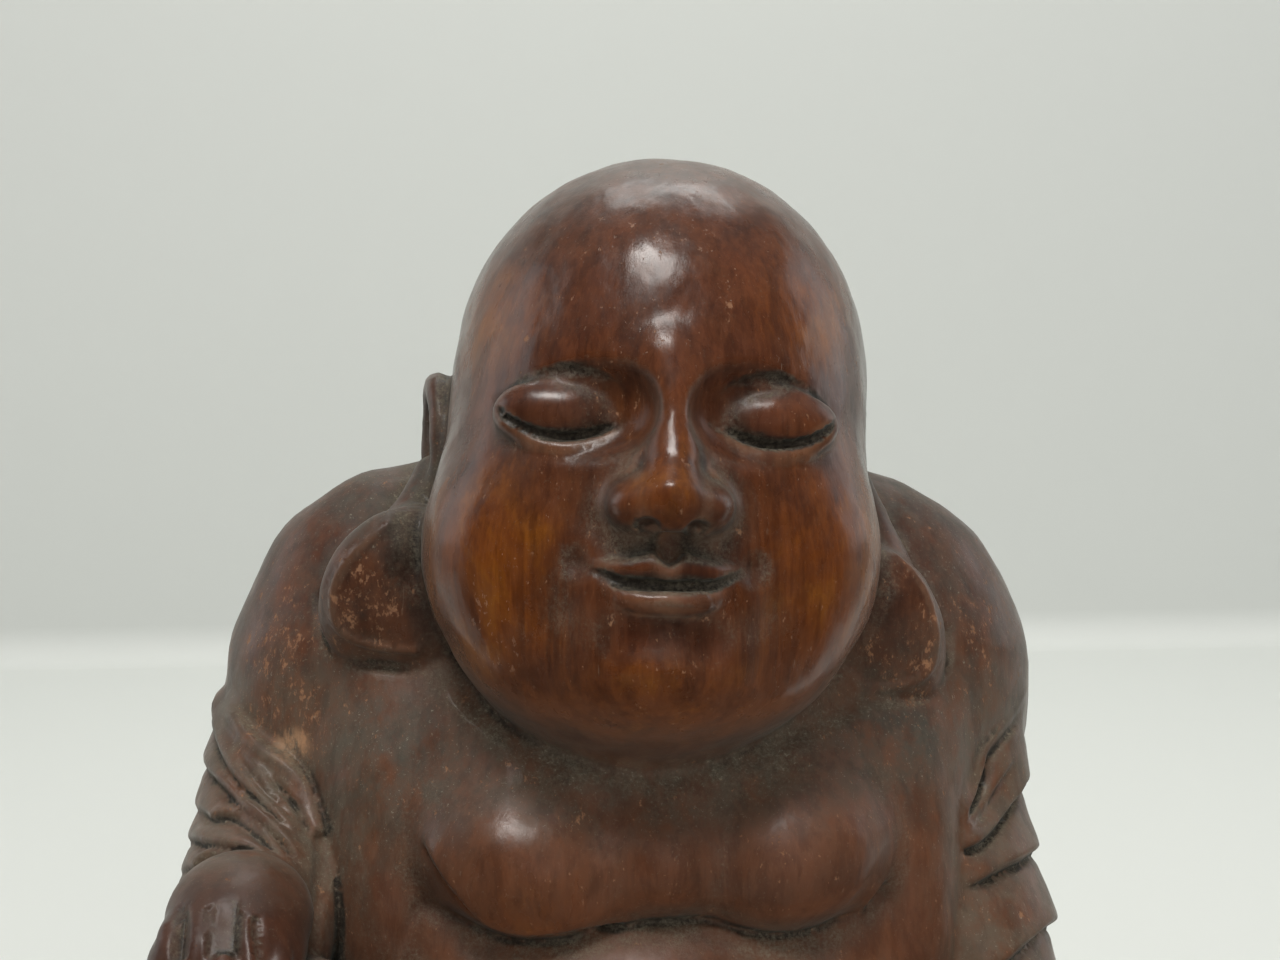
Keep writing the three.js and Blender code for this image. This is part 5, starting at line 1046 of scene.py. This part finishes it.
    # the hand and what lies just behind it are darker and a little duller
    palm = N.blob((-0.0745, -0.034, 0.118), (0.022, 0.024, 0.018), 0.5)
    tone = N.times(N.math("MULTIPLY", palm, 0.85), tone, (0.42, 0.34, 0.32, 1))

    mottle = N.noise(N.place((1, 1, 0.30), move=(0.8, 0.3, 1.4)), 210, 5.0, 0.7, 0.3)
    tone = N.times(N.math("MULTIPLY", N.ramp(mottle, 0.45, 0.60), 0.38), tone, (0.40, 0.36, 0.36, 1))
    # painted shade: the creases are near black
    tone = N.mix(N.math("MULTIPLY", N.ramp(groove, 0.16, 0.62), 0.92), tone, (0.0050, 0.0036, 0.0028, 1))
    # dust lying on ledges and in creases
    lies = N.math("MULTIPLY", N.ramp(hollow, 0.12, 0.45), N.math("MULTIPLY_ADD", up, 0.75, 0.25))
    lies = N.math("MAXIMUM", lies, N.math("MULTIPLY", N.ramp(groove, 0.10, 0.35), 0.5))
    dust = N.math("MULTIPLY", lies, N.ramp(film, 0.34, 0.62, 0.25, 1.0))
    dust = N.math("MULTIPLY", dust, N.ramp(grit, 0.38, 0.62, 0.1, 1.0))
    tone = N.mix(N.math("MULTIPLY", dust, 0.8), tone, (0.165, 0.140, 0.100, 1))
    # loose pale grains and hair-fine scratches
    grains = N.ramp(grit, 0.605, 0.665)
    tone = N.mix(N.math("MULTIPLY", grains, N.math("MULTIPLY_ADD", veil, 0.60, 0.10)), tone, (0.27, 0.24, 0.18, 1))
    scratch = N.noise(N.place((1, 1, 0.05), turn=(0.25, 0.3, 0.1), move=(0.1, 0.6, 0.2)), 1500, 2.0, 0.5, 0.6)
    nick = N.math("MULTIPLY", N.ramp(scratch, 0.70, 0.76), N.ramp(patch, 0.45, 0.6))
    tone = N.mix(N.math("MULTIPLY", nick, 0.35), tone, (0.24, 0.15, 0.10, 1))
    N.put(tone, bsdf.inputs["Base Color"])

    # gloss: polished heights, dull hollows, film and dust
    gloss = N.ramp(N.noise(N.place((1, 1, 0.5), move=(0.9, 0.3, 0.6)), 90, 4.0, 0.65), 0.3, 0.7, 0.20, 0.34)
    gloss = N.math("ADD", gloss, N.math("MULTIPLY", N.ramp(shaded_hollows, 0.1, 0.8), 0.20))
    gloss = N.math("ADD", gloss, N.math("MULTIPLY", veil, 0.36))
    gloss = N.math("ADD", gloss, N.math("MULTIPLY", palm, 0.14))
    gloss = N.math("ADD", gloss, N.math("MULTIPLY", N.blob((0.022, -0.030, 0.134), (0.034, 0.03, 0.022), 0.7), 0.14))
    gloss = N.math("ADD", gloss, N.math("MULTIPLY", N.math("ADD", dust, spots), 0.4), clamp=True)
    N.put(gloss, bsdf.inputs["Roughness"])
    bsdf.inputs["IOR"].default_value = 1.4
    bsdf.inputs["Sheen Weight"].default_value = 0.07
    bsdf.inputs["Sheen Roughness"].default_value = 0.45
    bsdf.inputs["Sheen Tint"].default_value = (0.86, 0.92, 0.84, 1)
    bsdf.inputs["Coat Weight"].default_value = 0.06
    bsdf.inputs["Coat Roughness"].default_value = 0.18

    # relief too fine for the mesh: pores, scratches, dust grains
    high = N.math("MULTIPLY", grain, 0.35)
    high = N.math("ADD", high, N.math("MULTIPLY", fine, 0.15))
    high = N.math("ADD", high, N.math("MULTIPLY", N.math("MULTIPLY", dust, grit), 1.2))
    high = N.math("ADD", high, N.math("MULTIPLY", N.math("MULTIPLY", veil, grit), 0.5))
    high = N.math("SUBTRACT", high, N.math("MULTIPLY", spots, 0.5))
    high = N.math("SUBTRACT", high, N.math("MULTIPLY", nick, 0.5))
    bump = N.new("ShaderNodeBump")
    bump.inputs["Strength"].default_value = 0.35
    bump.inputs["Distance"].default_value = 0.00025
    N.put(high, bump.inputs["Height"])
    N.put(bump.outputs[0], bsdf.inputs["Normal"])
    return mat


figure.data.materials.clear()
figure.data.materials.append(old_wood())
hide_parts("buddha_figure")
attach(figure, "root")


# ---- Floor, backdrop, light and camera -------------------------------------------------
def sheet(name, line, wide, mat):
    mesh = bpy.data.meshes.new(name)
    points = [(s * wide, y, z) for y, z in line for s in (-1, 1)]
    mesh.from_pydata(points, [], [(2 * i, 2 * i + 1, 2 * i + 3, 2 * i + 2) for i in range(len(line) - 1)])
    mesh.polygons.foreach_set("use_smooth", [True] * len(mesh.polygons))
    obj = bpy.data.objects.new(name, mesh)
    bpy.context.scene.collection.objects.link(obj)
    mesh.materials.append(mat)
    return obj


def sweep():
    """a pale floor that turns up into a slightly greyer wall behind the figure"""
    mat = bpy.data.materials.new("pale_paper")
    mat.use_nodes = True
    N = Nodes(mat.node_tree)
    bsdf = mat.node_tree.nodes["Principled BSDF"]
    place = N.new("ShaderNodeSeparateXYZ")
    N.put(N.place(), place.inputs[0])
    N.put(N.mix(N.ramp(place.outputs[2], 0.001, 0.022), (0.695, 0.71, 0.680, 1), (0.655, 0.672, 0.648, 1)), bsdf.inputs["Base Color"])
    bsdf.inputs["Roughness"].default_value = 0.75
    back, turn, high, wide = 0.745, 0.02, 2.2, 2.4
    front = sheet("floor_front", [(-1.5, 0.0), (0.02, 0.0)], wide, mat)
    sheet("floor_back", [(0.02, 0.0), (0.4, 0.0), (back - turn, 0.0)], wide, mat)
    rise = [(back - turn + turn * math.sin(a), turn - turn * math.cos(a)) for a in np.linspace(0, math.pi / 2, 9)]
    sheet("wall", rise + [(back, 0.5), (back, high)], wide, mat)
    # the floor in front lies in shade: it gives the wood no reflection
    front.visible_glossy = False


sweep()

scene = bpy.context.scene
world = bpy.data.worlds.new("studio")
scene.world = world
world.use_nodes = True
sky = Nodes(world.node_tree)
background = world.node_tree.nodes["Background"]
background.inputs[0].default_value = (0.92, 0.94, 0.92, 1)
aim = sky.new("ShaderNodeSeparateXYZ")
sky.put(sky.new("ShaderNodeTexCoord").outputs["Generated"], aim.inputs[0])
# darker in front and low, where the room is, and light behind and above
light = sky.math("ADD", sky.math("MULTIPLY", aim.outputs[1], 0.5), sky.math("MULTIPLY", aim.outputs[2], 0.9))
sky.put(sky.ramp(light, -0.35, 0.75, 0.02, 0.34), background.inputs[1])


def lamp(name, place, aim, wide, high, watts, colour=(1, 1, 1), shines=True):
    data = bpy.data.lights.new(name, "AREA")
    data.shape = "RECTANGLE"
    data.size, data.size_y = wide, high
    data.energy = watts
    data.color = colour
    obj = bpy.data.objects.new(name, data)
    scene.collection.objects.link(obj)
    obj.location = place
    obj.visible_glossy = shines
    obj.rotation_mode = "QUATERNION"
    obj.rotation_quaternion = (Vector(aim) - Vector(place)).to_track_quat("-Z", "Y")


lamp("back", (0.08, 0.50, 1.05), (0.08, 0.56, 0), 0.7, 0.26, 3.6, (0.985, 1.0, 0.975))
lamp("overhead", (-0.15, -0.42, 1.15), (0, 0, 0.15), 0.42, 0.24, 7.4, (1.0, 0.97, 0.93))
lamp("window", (-1.2, 0.40, 0.6), (0, 0, 0.15), 0.7, 0.9, 2.6, (0.95, 0.98, 1.0))
lamp("side", (1.2, 0.40, 0.6), (0, 0, 0.15), 0.7, 0.9, 2.4, (0.96, 0.98, 1.0))
lamp("fill", (0.25, -1.3, 0.55), (0, 0, 0.15), 1.2, 0.8, 8.2, (1.0, 0.99, 0.97), False)

# the camera: a short tele, slightly above the face and a little to the left
F, T, R = 1924.0, Vector((-0.005, 0.003, 0.194)), 0.338
az, el = math.radians(-5), math.radians(6)
back = Vector((math.sin(az) * math.cos(el), -math.cos(az) * math.cos(el), math.sin(el)))
data = bpy.data.cameras.new("camera")
camera = bpy.data.objects.new("camera", data)
scene.collection.objects.link(camera)
camera.location = T + back * R
camera.rotation_mode = "QUATERNION"
camera.rotation_quaternion = (-back).to_track_quat("-Z", "Y")
data.sensor_width = 36
data.lens = 36 * F / 1280
data.shift_x, data.shift_y = -5 / 1280, -30 / 1280
data.clip_start, data.clip_end = 0.02, 20
scene.camera = camera
scene.view_settings.view_transform = "Standard"
